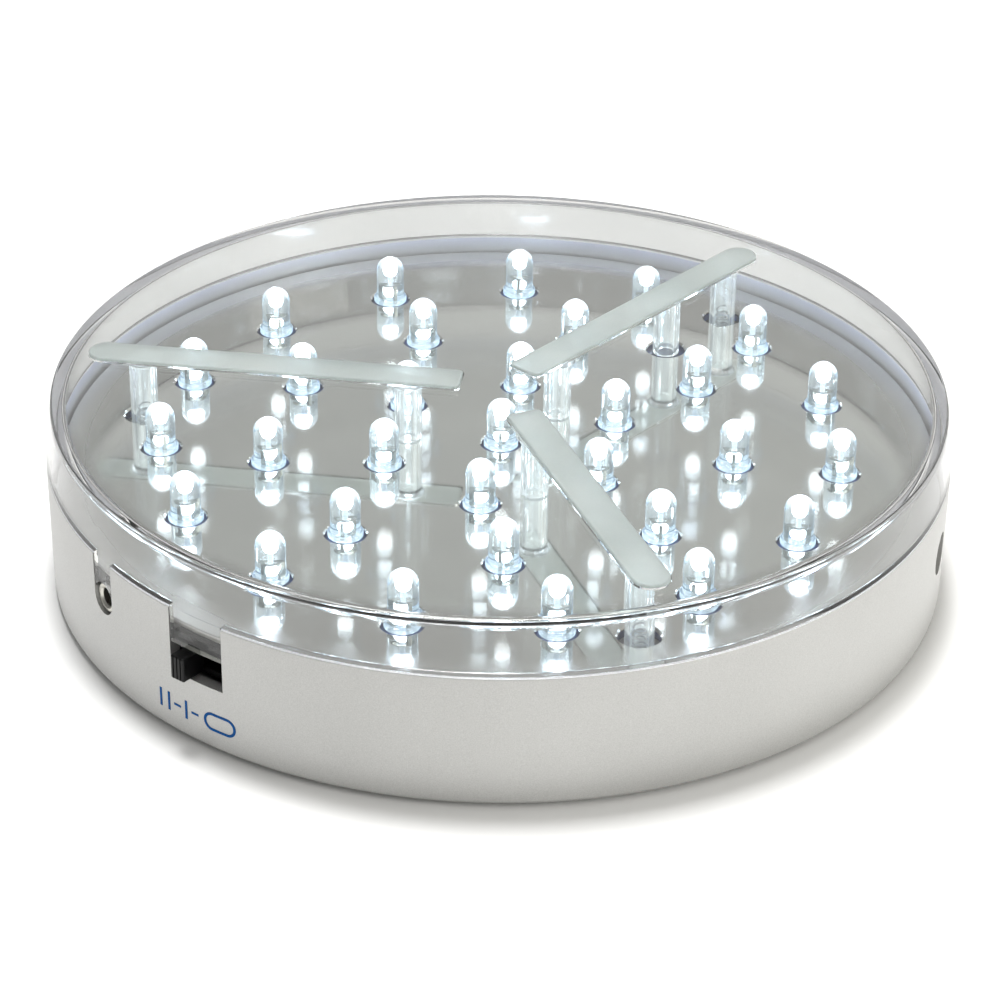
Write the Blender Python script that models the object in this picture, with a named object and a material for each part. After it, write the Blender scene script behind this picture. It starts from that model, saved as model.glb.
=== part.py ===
"""Round LED display stand: silver cup, mirror plate, clear screwed-on lid and three grip strips."""

import math

import bmesh
import bpy
from mathutils import Matrix, Vector

MM = 0.001

# Heights are measured from the underside of the housing, which its feet hold off the table.
FOOT_PROUD = 0.8 * MM
CLEARANCE = 0.3 * MM

SEAM_RADIUS = 76.5 * MM
BOTTOM_RADIUS = 76.3 * MM
LID_TOP_RADIUS = 75.45 * MM
SEAM_HEIGHT = 23.3 * MM
LID_TOP_HEIGHT = 32.85 * MM
WALL = 2.0 * MM
FLOOR = 2.0 * MM
EDGE_ROUND = 0.8 * MM
HOUSING_INNER_RADIUS = BOTTOM_RADIUS - WALL

LID_DISC = 1.8 * MM
LID_INNER_SEAM_RADIUS = 74.4 * MM
LID_INNER_TOP_RADIUS = 73.5 * MM
LID_EDGE = 0.8 * MM
LID_UNDERSIDE = LID_TOP_HEIGHT - LID_DISC

PLATE_RADIUS = 73.9 * MM
PLATE_TOP = 20.4 * MM
PLATE_THICKNESS = 0.5 * MM
PLATE_HOLE_RADIUS = 3.65 * MM
BOARD_RADIUS = 72.8 * MM
BOARD_TOP = 19.6 * MM
BOARD_THICKNESS = 1.2 * MM
BOARD_UNDERSIDE = BOARD_TOP - BOARD_THICKNESS
# The highest that anything hung under the board reaches.
UNDER_BOARD = BOARD_UNDERSIDE - CLEARANCE
PLATE_REST_COUNT = 6
PLATE_REST_FIRST_DIRECTION = 10
PLATE_REST_WIDTH = 1.6 * MM
PLATE_REST_DEPTH = 1.2 * MM

LED_RADIUS = 2.5 * MM
LED_FLANGE_RADIUS = 2.95 * MM
LED_FLANGE_HEIGHT = 1.0 * MM
LED_HEIGHT = 8.6 * MM
LED_BASE = PLATE_TOP + 8.3 * MM - LED_HEIGHT
LED_LEAD = 0.25 * MM
LED_LEAD_SPREAD = 1.27 * MM
LED_PATTERN_SHIFT = 0.35 * MM
# Each ring of lamps: radius, number of lamps, direction of the first one in degrees from +X.
LED_RINGS = (
    (0.0, 1, 0.0),
    (21.0 * MM, 6, 21.0),
    (39.8 * MM, 9, 30.9),
    (57.7 * MM, 15, 15.0),
)

STRIP_WIDTH = 6.2 * MM
STRIP_THICKNESS = 1.0 * MM
CHANNEL_DEPTH = 0.8 * MM
# Each grip strip: direction in degrees, where it starts and where it ends.
STRIPS = (
    (49.2, 6.0 * MM, 69.0 * MM),
    (172.0, 6.6 * MM, 71.0 * MM),
    (-69.3, 11.2 * MM, 69.5 * MM),
)
# Posts under the lid: radius, direction in degrees.
OUTER_POSTS = ((62.9 * MM, 50.0), (61.7 * MM, 172.1), (62.3 * MM, -69.3))
INNER_POSTS = ((14.3 * MM, 46.0), (15.6 * MM, 174.0), (18.0 * MM, -70.5))
MIDDLE_POST = (46.2 * MM, 50.0)

POST_RADIUS = 2.33 * MM
POST_BORE = 1.5 * MM
POST_BORE_TOP = 30.2 * MM
PILLAR_RADIUS = 4.8 * MM
PILLAR_TOP = UNDER_BOARD
PILLAR_BORE = 1.6 * MM
COUNTERBORE_RADIUS = 3.0 * MM
COUNTERBORE_TOP = 8.3 * MM
SCREW_RADIUS = 1.2 * MM
SCREW_HEAD_RADIUS = 2.5 * MM
SCREW_HEAD_HEIGHT = 1.8 * MM
SCREW_SEAT = COUNTERBORE_TOP - CLEARANCE
SCREW_POINT = 2.6 * MM
SCREW_TIP = 25.5 * MM

SWITCH_DIRECTION = -127.9
SWITCH_WINDOW_WIDTH = 10.9 * MM
SWITCH_WINDOW_BOTTOM = 11.5 * MM
SWITCH_TAB_BOTTOM = 16.9 * MM
SWITCH_BODY_WIDTH = 12.6 * MM
SWITCH_BODY_DEPTH = 5.6 * MM
SWITCH_BODY_BOTTOM = 11.3 * MM
SWITCH_BODY_TOP = 17.8 * MM
SWITCH_PIN_PITCH = 2.5 * MM
SWITCH_PIN_COUNT = 4
SWITCH_FACE_RADIUS = 73.4 * MM
SWITCH_PITCH = 2.0 * MM
KNOB_WIDTH = 2.8 * MM
KNOB_HEIGHT = 4.3 * MM
KNOB_CENTRE_HEIGHT = 14.1 * MM
KNOB_FACE_RADIUS = SEAM_RADIUS + 2.0 * MM
KNOB_STEM_WIDTH = 1.8 * MM
KNOB_STEM_HEIGHT = 2.6 * MM
KNOB_SLOT_DEPTH = 3.2 * MM

LEFT_JACK_DIRECTION = -145.6
LEFT_JACK_HEIGHT = 16.0 * MM
LEFT_JACK_HOLE = 2.8 * MM
RIGHT_JACK_DIRECTION = -15.3
RIGHT_JACK_HEIGHT = 12.7 * MM
RIGHT_JACK_HOLE = 3.7 * MM
JACK_FACE_RADIUS = 73.2 * MM
LEFT_JACK_NOSE_RADIUS = 2.5 * MM
LEFT_JACK_NOSE_REACH = 2.7 * MM
JACK_PIN_SPREAD = 2.0 * MM

CELL_RADIUS = 7.1 * MM
CELL_LENGTH = 50.5 * MM
CELL_NUB = 1.2 * MM
CELL_NUB_RADIUS = 2.7 * MM
CELL_PITCH = 15.1 * MM
BAY_HALF_X = 28.7 * MM
BAY_HALF_Y = 23.1 * MM
BAY_WALL = 1.4 * MM
BAY_ROOF_UNDERSIDE = 17.0 * MM
BAY_ROOF = 1.1 * MM
CONTACT_THICKNESS = 0.4 * MM
CONTACT_WIDTH = 11.0 * MM
CONTACT_BOTTOM = 3.6 * MM
CONTACT_TOP = 15.4 * MM
TAIL_HEIGHT = 12.6 * MM
SPRING_TURNS = 3
SPRING_WIRE = 0.35 * MM
SPRING_WIDE_RADIUS = 4.4 * MM
SPRING_NARROW_RADIUS = 2.6 * MM
LEAD_RADIUS = 0.6 * MM
CELL_BOTTOM = 2.4 * MM

DOOR_THICKNESS = 1.8 * MM
DOOR_GAP = 0.4 * MM
DOOR_TONGUE_X = 16.0 * MM
DOOR_TONGUE_WIDTH = 8.0 * MM
DOOR_TONGUE_REACH = 1.4 * MM
DOOR_TONGUE_THICKNESS = 1.0 * MM
DOOR_LATCH_WIDTH = 10.0 * MM
DOOR_LATCH_TOP = 5.0 * MM

FOOT_RADIUS = 5.0 * MM
FOOT_HEIGHT = 1.3 * MM
FOOT_CIRCLE = 64.0 * MM
FOOT_FIRST_DIRECTION = 5.0
FOOT_COUNT = 4
FOOT_RECESS = 0.8 * MM

LARGE_SIDES = 72
SMALL_SIDES = 12
LAMP_SIDES = 10


def srgb(red, green, blue):
    """Display colour values of 0 to 255 as the linear values a shader takes."""
    def linear(value):
        value = value / 255
        return value / 12.92 if value <= 0.04045 else ((value + 0.055) / 1.055) ** 2.4

    return linear(red), linear(green), linear(blue), 1.0


def material(name, colour, roughness, metallic=0.0, transmission=0.0, glow=0.0):
    made = bpy.data.materials.new(name)
    made.use_nodes = True
    shader = made.node_tree.nodes["Principled BSDF"]
    shader.inputs["Base Color"].default_value = colour
    shader.inputs["Roughness"].default_value = roughness
    shader.inputs["Metallic"].default_value = metallic
    shader.inputs["Transmission Weight"].default_value = transmission
    shader.inputs["Emission Color"].default_value = colour
    shader.inputs["Emission Strength"].default_value = glow
    return made


def direction(degrees):
    angle = math.radians(degrees)
    return Vector((math.cos(angle), math.sin(angle), 0))


def polar(radius, degrees, height=0.0):
    return direction(degrees) * radius + Vector((0, 0, height))


def facing(degrees, radius=0.0, height=0.0):
    """A frame whose +X points outwards from the stand's axis in this direction, and +Z up."""
    turn = Matrix.Rotation(math.radians(degrees), 4, "Z")
    return Matrix.Translation(polar(radius, degrees, height)) @ turn


def add_turned(bm, profile, sides, frame=Matrix(), ring=False):
    """A shape turned about Z from (radius, height) points; a ring profile closes on itself."""
    loops = []
    for radius, height in profile:
        if radius == 0:
            loops.append([bm.verts.new(frame @ Vector((0, 0, height)))])
            continue
        angles = (math.tau * step / sides for step in range(sides))
        points = (Vector((radius * math.cos(a), radius * math.sin(a), height)) for a in angles)
        loops.append([bm.verts.new(frame @ point) for point in points])
    pairs = list(zip(loops, loops[1:]))
    if ring:
        pairs.append((loops[-1], loops[0]))
    for first, second in pairs:
        for step in range(sides):
            after = (step + 1) % sides
            corners = [first[step % len(first)], first[after % len(first)]]
            corners += [second[after % len(second)], second[step % len(second)]]
            bm.faces.new(list(dict.fromkeys(corners)))


def add_prism(bm, outline, low, high, frame=Matrix()):
    """An outline of (x, y) points drawn up from one height to another."""
    bottom = [bm.verts.new(frame @ Vector((x, y, low))) for x, y in outline]
    top = [bm.verts.new(frame @ Vector((x, y, high))) for x, y in outline]
    bm.faces.new(bottom)
    bm.faces.new(top)
    for step in range(len(outline)):
        after = (step + 1) % len(outline)
        bm.faces.new([bottom[step], bottom[after], top[after], top[step]])


def add_box(bm, low, high, frame=Matrix()):
    outline = ((low[0], low[1]), (high[0], low[1]), (high[0], high[1]), (low[0], high[1]))
    add_prism(bm, outline, low[2], high[2], frame)


def rod(radius, low, high):
    return (0, low), (radius, low), (radius, high), (0, high)


def arc(centre, radius, start, end, steps):
    """Points along an arc, with angles in degrees."""
    angles = [math.radians(start + (end - start) * step / steps) for step in range(steps + 1)]
    return [(centre[0] + radius * math.cos(a), centre[1] + radius * math.sin(a)) for a in angles]


def finish(name, bm, surface=None, location=(0, 0, 0), flat=False):
    """Turns the shape into an object whose origin is its location, standing on the feet's height."""
    bmesh.ops.remove_doubles(bm, verts=bm.verts, dist=1e-7)
    bmesh.ops.recalc_face_normals(bm, faces=bm.faces)
    mesh = bpy.data.meshes.new(name)
    bm.to_mesh(mesh)
    bm.free()
    if not flat:
        mesh.shade_smooth()
        mesh.set_sharp_from_angle(angle=math.radians(35))
    if surface:
        mesh.materials.append(surface)
    return placed(name, mesh, location)


def placed(name, mesh, location, turn=0.0):
    piece = bpy.data.objects.new(name, mesh)
    piece.location = Vector(location) + Vector((0, 0, FOOT_PROUD))
    piece.rotation_euler.z = turn
    bpy.context.scene.collection.objects.link(piece)
    return piece


def helper(name, bm):
    """A solid that only adds to or cuts another one."""
    tool = finish(name, bm, flat=True)
    tool.hide_render = True
    tool.display_type = "WIRE"
    return tool


def combine(piece, tool, operation):
    modifier = piece.modifiers.new(tool.name, "BOOLEAN")
    modifier.operation = operation
    modifier.solver = "EXACT"
    modifier.object = tool


def across_wall(degrees, height):
    """A frame in the wall whose +Z points outwards and +Y up, for what is bored through it."""
    out = direction(degrees)
    along = Vector((-out.y, out.x, 0))
    turn = Matrix((along, Vector((0, 0, 1)), out)).transposed().to_4x4()
    return Matrix.Translation(Vector((0, 0, height))) @ turn


def outer_posts():
    return [polar(*post) for post in OUTER_POSTS]


def housing_shell():
    bm = bmesh.new()
    rim = SEAM_HEIGHT - CLEARANCE / 2
    corner = arc((BOTTOM_RADIUS - EDGE_ROUND, EDGE_ROUND), EDGE_ROUND, -90, 0, 3)
    profile = [(0, 0)] + corner + [(SEAM_RADIUS, rim), (SEAM_RADIUS - WALL, rim)]
    profile += [(HOUSING_INNER_RADIUS, FLOOR), (0, FLOOR)]
    add_turned(bm, profile, LARGE_SIDES)
    return bm


def housing_fittings():
    """Screw pillars, the ribs that carry the plate, and the block that becomes the battery bay."""
    bm = bmesh.new()
    base = FLOOR - 0.5 * MM
    for post in outer_posts():
        add_turned(bm, rod(PILLAR_RADIUS, base, PILLAR_TOP), 16, Matrix.Translation(post))
    plate_rest = PLATE_TOP - PLATE_THICKNESS - CLEARANCE
    for step in range(PLATE_REST_COUNT):
        low = (HOUSING_INNER_RADIUS - PLATE_REST_DEPTH, -PLATE_REST_WIDTH / 2, base)
        high = (HOUSING_INNER_RADIUS + WALL / 2, PLATE_REST_WIDTH / 2, plate_rest)
        turn = PLATE_REST_FIRST_DIRECTION + 360 / PLATE_REST_COUNT * step
        add_box(bm, low, high, facing(turn))
    reach_x = BAY_HALF_X + BAY_WALL
    reach_y = BAY_HALF_Y + BAY_WALL
    roof = BAY_ROOF_UNDERSIDE + BAY_ROOF
    add_box(bm, (-reach_x, -reach_y, base), (reach_x, reach_y, roof))
    return helper("housing_fittings", bm)


def housing_openings():
    """Battery bay, screw bores, foot recesses, switch window and jack openings."""
    bm = bmesh.new()
    below = -1.0 * MM
    bay_low = (-BAY_HALF_X, -BAY_HALF_Y, below)
    add_box(bm, bay_low, (BAY_HALF_X, BAY_HALF_Y, BAY_ROOF_UNDERSIDE))
    for post in outer_posts():
        bore = [(0, below), (COUNTERBORE_RADIUS, below), (COUNTERBORE_RADIUS, COUNTERBORE_TOP)]
        above = PILLAR_TOP + 1.0 * MM
        bore += [(PILLAR_BORE, COUNTERBORE_TOP), (PILLAR_BORE, above), (0, above)]
        add_turned(bm, bore, SMALL_SIDES, Matrix.Translation(post))
    for foot in foot_places():
        recess = rod(FOOT_RADIUS + 0.4 * MM, below, FOOT_RECESS)
        add_turned(bm, recess, 16, Matrix.Translation(foot))
    above_rim = SEAM_HEIGHT + 1.0 * MM
    inside = HOUSING_INNER_RADIUS - 1.0 * MM
    outside = SEAM_RADIUS + 1.0 * MM
    half = SWITCH_WINDOW_WIDTH / 2
    window = ((-half, SWITCH_WINDOW_BOTTOM), (half, SWITCH_WINDOW_BOTTOM))
    window += ((half, above_rim), (-half, above_rim))
    add_prism(bm, window, inside, outside, across_wall(SWITCH_DIRECTION, 0))
    slot = arc((0, LEFT_JACK_HEIGHT), LEFT_JACK_HOLE, -180, 0, 8)
    slot += [(LEFT_JACK_HOLE, above_rim), (-LEFT_JACK_HOLE, above_rim)]
    add_prism(bm, slot, inside, outside, across_wall(LEFT_JACK_DIRECTION, 0))
    hole = arc((0, RIGHT_JACK_HEIGHT), RIGHT_JACK_HOLE, 0, 337.5, 15)
    add_prism(bm, hole, inside, outside, across_wall(RIGHT_JACK_DIRECTION, 0))
    return helper("housing_openings", bm)


def bay_slots():
    """Slots in the bay's walls for the door's tongues and the contacts' tails."""
    bm = bmesh.new()
    for side in (-1, 1):
        low = (side * DOOR_TONGUE_X - DOOR_TONGUE_WIDTH / 2 - 0.4 * MM, -BAY_HALF_Y - 3 * MM, FLOOR)
        high = (side * DOOR_TONGUE_X + DOOR_TONGUE_WIDTH / 2 + 0.4 * MM, -BAY_HALF_Y + MM, 4.4 * MM)
        add_box(bm, low, high)
    for side, row in ((1, -1), (-1, 1)):
        reach = sorted((side * (BAY_HALF_X - MM), side * (BAY_HALF_X + 3 * MM)))
        middle = row * CELL_PITCH
        low = (reach[0], middle - 1.7 * MM, TAIL_HEIGHT - 0.4 * MM)
        high = (reach[1], middle + 1.7 * MM, TAIL_HEIGHT + CONTACT_THICKNESS + 0.4 * MM)
        add_box(bm, low, high)
    return helper("bay_slots", bm)


def make_housing():
    surface = material("silver_housing", srgb(198, 198, 193), 0.34, 0.55)
    housing = finish("housing", housing_shell(), surface)
    combine(housing, housing_fittings(), "UNION")
    combine(housing, housing_openings(), "DIFFERENCE")
    combine(housing, bay_slots(), "DIFFERENCE")


def lid_shell():
    bm = bmesh.new()
    seam = SEAM_HEIGHT + CLEARANCE / 2
    corner = arc((LID_TOP_RADIUS - LID_EDGE, LID_TOP_HEIGHT - LID_EDGE), LID_EDGE, 90, 5, 3)
    profile = [(0, LID_TOP_HEIGHT)] + corner
    profile += [(SEAM_RADIUS, seam), (LID_INNER_SEAM_RADIUS, seam)]
    profile += [(LID_INNER_TOP_RADIUS, LID_UNDERSIDE - LID_EDGE)]
    profile += [(LID_INNER_TOP_RADIUS - LID_EDGE, LID_UNDERSIDE), (0, LID_UNDERSIDE)]
    add_turned(bm, profile, LARGE_SIDES)
    return bm


def lid_fittings():
    """Hollow posts under the lid and the two tabs that fill the openings in the rim."""
    bm = bmesh.new()
    root = LID_UNDERSIDE + 0.4 * MM
    ends = [(post, BOARD_UNDERSIDE) for post in outer_posts()]
    ends += [(polar(*post), PLATE_TOP + CLEARANCE) for post in INNER_POSTS]
    ends.append((polar(*MIDDLE_POST), BOARD_TOP + CLEARANCE))
    for post, foot in ends:
        tube = [(0, POST_BORE_TOP), (POST_BORE, POST_BORE_TOP), (POST_BORE, foot)]
        tube += [(POST_RADIUS, foot), (POST_RADIUS, root), (0, root)]
        add_turned(bm, tube, SMALL_SIDES, Matrix.Translation(post))
    return helper("lid_fittings", bm)


def lid_tabs():
    """Tabs under the skirt, as thick as the wall, that close the tops of the rim's openings."""
    bm = bmesh.new()
    root = SEAM_HEIGHT + 1.0 * MM
    tab_half = SWITCH_WINDOW_WIDTH / 2 - CLEARANCE
    outline = ((-tab_half, SWITCH_TAB_BOTTOM), (tab_half, SWITCH_TAB_BOTTOM))
    outline += ((tab_half, root), (-tab_half, root))
    near, far = SEAM_RADIUS - 10 * MM, SEAM_RADIUS + 10 * MM
    add_prism(bm, outline, near, far, across_wall(SWITCH_DIRECTION, 0))
    jack_half = LEFT_JACK_HOLE - CLEARANCE
    reach = math.degrees(math.asin(jack_half / LEFT_JACK_HOLE))
    mouth = arc((0, LEFT_JACK_HEIGHT), LEFT_JACK_HOLE, 90 - reach, 90 + reach, 8)
    outline = mouth + [(-jack_half, root), (jack_half, root)]
    add_prism(bm, outline, near, far, across_wall(LEFT_JACK_DIRECTION, 0))
    return helper("lid_tabs", bm)


def wall_band():
    """The part of the wall's thickness that the tabs may fill."""
    bm = bmesh.new()
    low = SWITCH_TAB_BOTTOM - 3 * MM
    high = SEAM_HEIGHT + 0.8 * MM
    inner = HOUSING_INNER_RADIUS + 0.1 * MM
    outer = SEAM_RADIUS - 0.15 * MM
    profile = ((inner, low), (outer, low), (outer, high), (inner, high))
    add_turned(bm, profile, LARGE_SIDES, ring=True)
    return helper("wall_band", bm)


def stadium(start, end, width):
    """Outline along +X, square at the start and round at the end."""
    half = width / 2
    return [(start, -half)] + arc((end - half, 0), half, -90, 90, 6) + [(start, half)]


def strip_channels():
    bm = bmesh.new()
    gap = CLEARANCE
    for turn, start, end in STRIPS:
        outline = stadium(start - gap, end + gap, STRIP_WIDTH + 2 * gap)
        floor = LID_TOP_HEIGHT - CHANNEL_DEPTH
        add_prism(bm, outline, floor, LID_TOP_HEIGHT + MM, facing(turn))
    return helper("strip_channels", bm)


def make_lid():
    surface = material("clear_lid", srgb(236, 243, 245), 0.03, 0.0, 1.0)
    tabs = lid_tabs()
    combine(tabs, wall_band(), "INTERSECT")
    lid = finish("clear_lid", lid_shell(), surface)
    combine(lid, lid_fittings(), "UNION")
    combine(lid, tabs, "UNION")
    combine(lid, strip_channels(), "DIFFERENCE")


def make_strips():
    surface = material("frosted_rubber", srgb(214, 226, 222), 0.55, 0.0, 0.5)
    low = LID_TOP_HEIGHT - CHANNEL_DEPTH + CLEARANCE
    for number, (turn, start, end) in enumerate(STRIPS, 1):
        bm = bmesh.new()
        outline = stadium(start, end, STRIP_WIDTH)
        add_prism(bm, outline, low, low + STRIP_THICKNESS, facing(turn))
        finish(f"grip_strip_{number}", bm, surface)


def lamp_places():
    for radius, count, first in LED_RINGS:
        for step in range(count):
            yield polar(radius, first + 360 * step / count) + Vector((LED_PATTERN_SHIFT, 0, 0))


def disc_with_holes(name, radius, top, thickness, hole_places, hole_radius, surface):
    bm = bmesh.new()
    add_turned(bm, rod(radius, top - thickness, top), LARGE_SIDES)
    disc = finish(name, bm, surface)
    bm = bmesh.new()
    for place in hole_places:
        hole = rod(hole_radius, top - thickness - MM, top + MM)
        add_turned(bm, hole, SMALL_SIDES, Matrix.Translation(place))
    combine(disc, helper(f"{name}_holes", bm), "DIFFERENCE")


def make_plate_and_board():
    mirror = material("mirror_plate", srgb(186, 186, 182), 0.07, 1.0)
    through = outer_posts() + [polar(*MIDDLE_POST)]
    holes = list(lamp_places()) + through
    disc_with_holes("reflector_plate", PLATE_RADIUS, PLATE_TOP, PLATE_THICKNESS, holes,
                    PLATE_HOLE_RADIUS, mirror)
    board = material("circuit_board", srgb(20, 46, 98), 0.45)
    disc_with_holes("led_board", BOARD_RADIUS, BOARD_TOP, BOARD_THICKNESS, outer_posts(),
                    PLATE_HOLE_RADIUS, board)


def make_lamps():
    """Lamps that share one mesh: flange, barrel, dome and two short leads."""
    surface = material("lamp_glow", srgb(232, 244, 255), 0.08, 0.0, 0.3, 6.0)
    bm = bmesh.new()
    shoulder = LED_HEIGHT - LED_RADIUS
    dome = arc((0, shoulder), LED_RADIUS, 0, 60, 2)
    profile = [(0, 0), (LED_FLANGE_RADIUS, 0), (LED_FLANGE_RADIUS, LED_FLANGE_HEIGHT)]
    profile += [(LED_RADIUS, LED_FLANGE_HEIGHT)] + dome + [(0, LED_HEIGHT)]
    add_turned(bm, profile, LAMP_SIDES)
    lamp = None
    for number, place in enumerate(lamp_places(), 1):
        name = f"led_{number:02d}"
        spot = place + Vector((0, 0, LED_BASE))
        if lamp is None:
            lamp = finish(name, bm, surface, spot)
            combine(lamp, lamp_leads(), "UNION")
            bpy.context.view_layer.update()
            whole = lamp.evaluated_get(bpy.context.evaluated_depsgraph_get())
            shared = bpy.data.meshes.new_from_object(whole)
            lamp.modifiers.clear()
            lamp.data = shared
        else:
            placed(name, lamp.data, spot)


def lamp_leads():
    bm = bmesh.new()
    low = BOARD_TOP + CLEARANCE - LED_BASE
    for side in (-1, 1):
        middle = side * LED_LEAD_SPREAD
        low_corner = (middle - LED_LEAD, -LED_LEAD, low)
        add_box(bm, low_corner, (middle + LED_LEAD, LED_LEAD, 0.4 * MM))
    leads = helper("lamp_leads", bm)
    leads.location.z += LED_BASE
    return leads


def make_screws():
    """Self-tapping screws that come up through the pillars into the lid's posts."""
    surface = material("screw_steel", srgb(150, 150, 150), 0.3, 1.0)
    length = SCREW_TIP - SCREW_SEAT
    bm = bmesh.new()
    profile = [(0, -SCREW_HEAD_HEIGHT), (0.7 * SCREW_HEAD_RADIUS, -SCREW_HEAD_HEIGHT)]
    profile += [(SCREW_HEAD_RADIUS, -0.5 * SCREW_HEAD_HEIGHT), (SCREW_HEAD_RADIUS, 0)]
    profile += [(SCREW_RADIUS, 0), (SCREW_RADIUS, length - SCREW_POINT), (0, length)]
    add_turned(bm, profile, SMALL_SIDES)
    screw = None
    for number, post in enumerate(outer_posts(), 1):
        name = f"lid_screw_{number}"
        seat = post + Vector((0, 0, SCREW_SEAT))
        if screw is None:
            screw = finish(name, bm, surface, seat)
        else:
            placed(name, screw.data, seat)


def switch_frame():
    """Origin at the switch's middle in the stand's plan: +X along the wall, +Y outwards."""
    out = direction(SWITCH_DIRECTION)
    along = Vector((-out.y, out.x, 0))
    return Matrix((along, out, Vector((0, 0, 1)))).transposed().to_4x4()


def make_switch():
    """Slide switch: a body hung from the board, with a slot in its face for the knob's stem."""
    body_plastic = material("switch_body_plastic", srgb(24, 24, 26), 0.4)
    half = SWITCH_BODY_WIDTH / 2
    back = SWITCH_FACE_RADIUS - SWITCH_BODY_DEPTH
    bm = bmesh.new()
    frame = switch_frame()
    add_box(bm, (-half, back, SWITCH_BODY_BOTTOM), (half, SWITCH_FACE_RADIUS, SWITCH_BODY_TOP), frame)
    body = finish("switch_body", bm, body_plastic)
    bm = bmesh.new()
    slot_half = SWITCH_PITCH + KNOB_STEM_WIDTH / 2 + 0.4 * MM
    stem_half = KNOB_STEM_HEIGHT / 2
    low = (-slot_half, SWITCH_FACE_RADIUS - KNOB_SLOT_DEPTH, KNOB_CENTRE_HEIGHT - stem_half - 0.3 * MM)
    high = (slot_half, SWITCH_FACE_RADIUS + MM, KNOB_CENTRE_HEIGHT + stem_half + 0.3 * MM)
    add_box(bm, low, high, frame)
    combine(body, helper("switch_slot", bm), "DIFFERENCE")
    bm = bmesh.new()
    for step in range(SWITCH_PIN_COUNT):
        middle = (step - (SWITCH_PIN_COUNT - 1) / 2) * SWITCH_PIN_PITCH
        low = (middle - 0.3 * MM, back + 1.0 * MM, SWITCH_BODY_TOP - 0.5 * MM)
        add_box(bm, low, (middle + 0.3 * MM, back + 1.5 * MM, UNDER_BOARD), frame)
    combine(body, helper("switch_pins", bm), "UNION")
    make_knob()


def make_knob():
    """The knob rests at the end of its slot that stands for the brightest setting."""
    knob_plastic = material("switch_knob_plastic", srgb(16, 16, 17), 0.32)
    turn = math.radians(SWITCH_DIRECTION + 90)
    origin = Vector(switch_frame() @ Vector((-SWITCH_PITCH, SWITCH_FACE_RADIUS, KNOB_CENTRE_HEIGHT)))
    bm = bmesh.new()
    outer = KNOB_FACE_RADIUS - SWITCH_FACE_RADIUS
    rise = 0.35 * MM
    half = KNOB_WIDTH / 2
    tall = KNOB_HEIGHT / 2
    outline = ((-half, -rise), (half, -rise), (half, -outer + 0.4 * MM), (half - 0.4 * MM, -outer))
    outline += ((-half + 0.4 * MM, -outer), (-half, -outer + 0.4 * MM))
    spin = Matrix.Rotation(turn, 4, "Z")
    add_prism(bm, outline, -tall, tall, spin)
    knob = finish("switch_knob", bm, knob_plastic, origin)
    bm = bmesh.new()
    stem = KNOB_STEM_WIDTH / 2
    lift = KNOB_STEM_HEIGHT / 2
    add_box(bm, (-stem, -rise - 0.5 * MM, -lift), (stem, KNOB_SLOT_DEPTH - 0.6 * MM, lift), spin)
    tool = helper("knob_stem", bm)
    tool.location += origin
    combine(knob, tool, "UNION")


def make_jack(name, degrees, height, body_half, depth, throat, bore, pin=0, nose=0):
    """A socket hung from the board: a block with a round bore that faces the wall's opening."""
    surface = material(f"{name}_plastic", srgb(38, 38, 41), 0.38)
    frame = across_wall(degrees, 0)
    back = JACK_FACE_RADIUS - depth
    top = min(height + body_half, UNDER_BOARD)
    bm = bmesh.new()
    outline = ((-body_half, height - body_half), (body_half, height - body_half))
    outline += ((body_half, top), (-body_half, top))
    add_prism(bm, outline, back, JACK_FACE_RADIUS, frame)
    jack = finish(name, bm, surface)
    bored = Matrix.Translation(polar(JACK_FACE_RADIUS, degrees, height))
    bored = bored @ frame.to_3x3().to_4x4()
    if nose:
        bm = bmesh.new()
        add_turned(bm, rod(nose, -0.2 * MM, LEFT_JACK_NOSE_REACH), 16, bored)
        combine(jack, helper(f"{name}_nose", bm), "UNION")
    bm = bmesh.new()
    mouth = LEFT_JACK_NOSE_REACH + MM
    if pin:
        profile = [(pin, -throat), (bore, -throat), (bore, mouth), (pin, mouth)]
        add_turned(bm, profile, SMALL_SIDES, bored, ring=True)
        add_turned(bm, rod(pin + 0.05 * MM, -0.8 * MM, mouth + MM), SMALL_SIDES, bored)
    else:
        profile = [(0, -throat), (bore, -throat), (bore, mouth), (0, mouth)]
        add_turned(bm, profile, SMALL_SIDES, bored)
    combine(jack, helper(f"{name}_bore", bm), "DIFFERENCE")
    if UNDER_BOARD - top > 0.5 * MM:
        add_jack_pins(jack, frame, height, back)


def add_jack_pins(jack, frame, height, back):
    bm = bmesh.new()
    for side in (-1, 1):
        near = side * JACK_PIN_SPREAD - 0.5 * MM
        far = side * JACK_PIN_SPREAD + 0.5 * MM
        pins = ((near, height), (far, height), (far, UNDER_BOARD), (near, UNDER_BOARD))
        add_prism(bm, pins, back + 0.6 * MM, back + 1.0 * MM, frame)
    combine(jack, helper(f"{jack.name}_pins", bm), "UNION")


def make_jacks():
    make_jack("left_jack", LEFT_JACK_DIRECTION, LEFT_JACK_HEIGHT, 3.0 * MM, 11.0 * MM,
              9.0 * MM, 1.8 * MM, nose=LEFT_JACK_NOSE_RADIUS)
    make_jack("right_jack", RIGHT_JACK_DIRECTION, RIGHT_JACK_HEIGHT, 4.5 * MM, 12.0 * MM,
              9.5 * MM, 3.15 * MM, pin=1.0 * MM)


def cell_end():
    """Where a cell's nub ends, from the middle of the bay."""
    return BAY_HALF_X - 2 * CLEARANCE - CONTACT_THICKNESS


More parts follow.
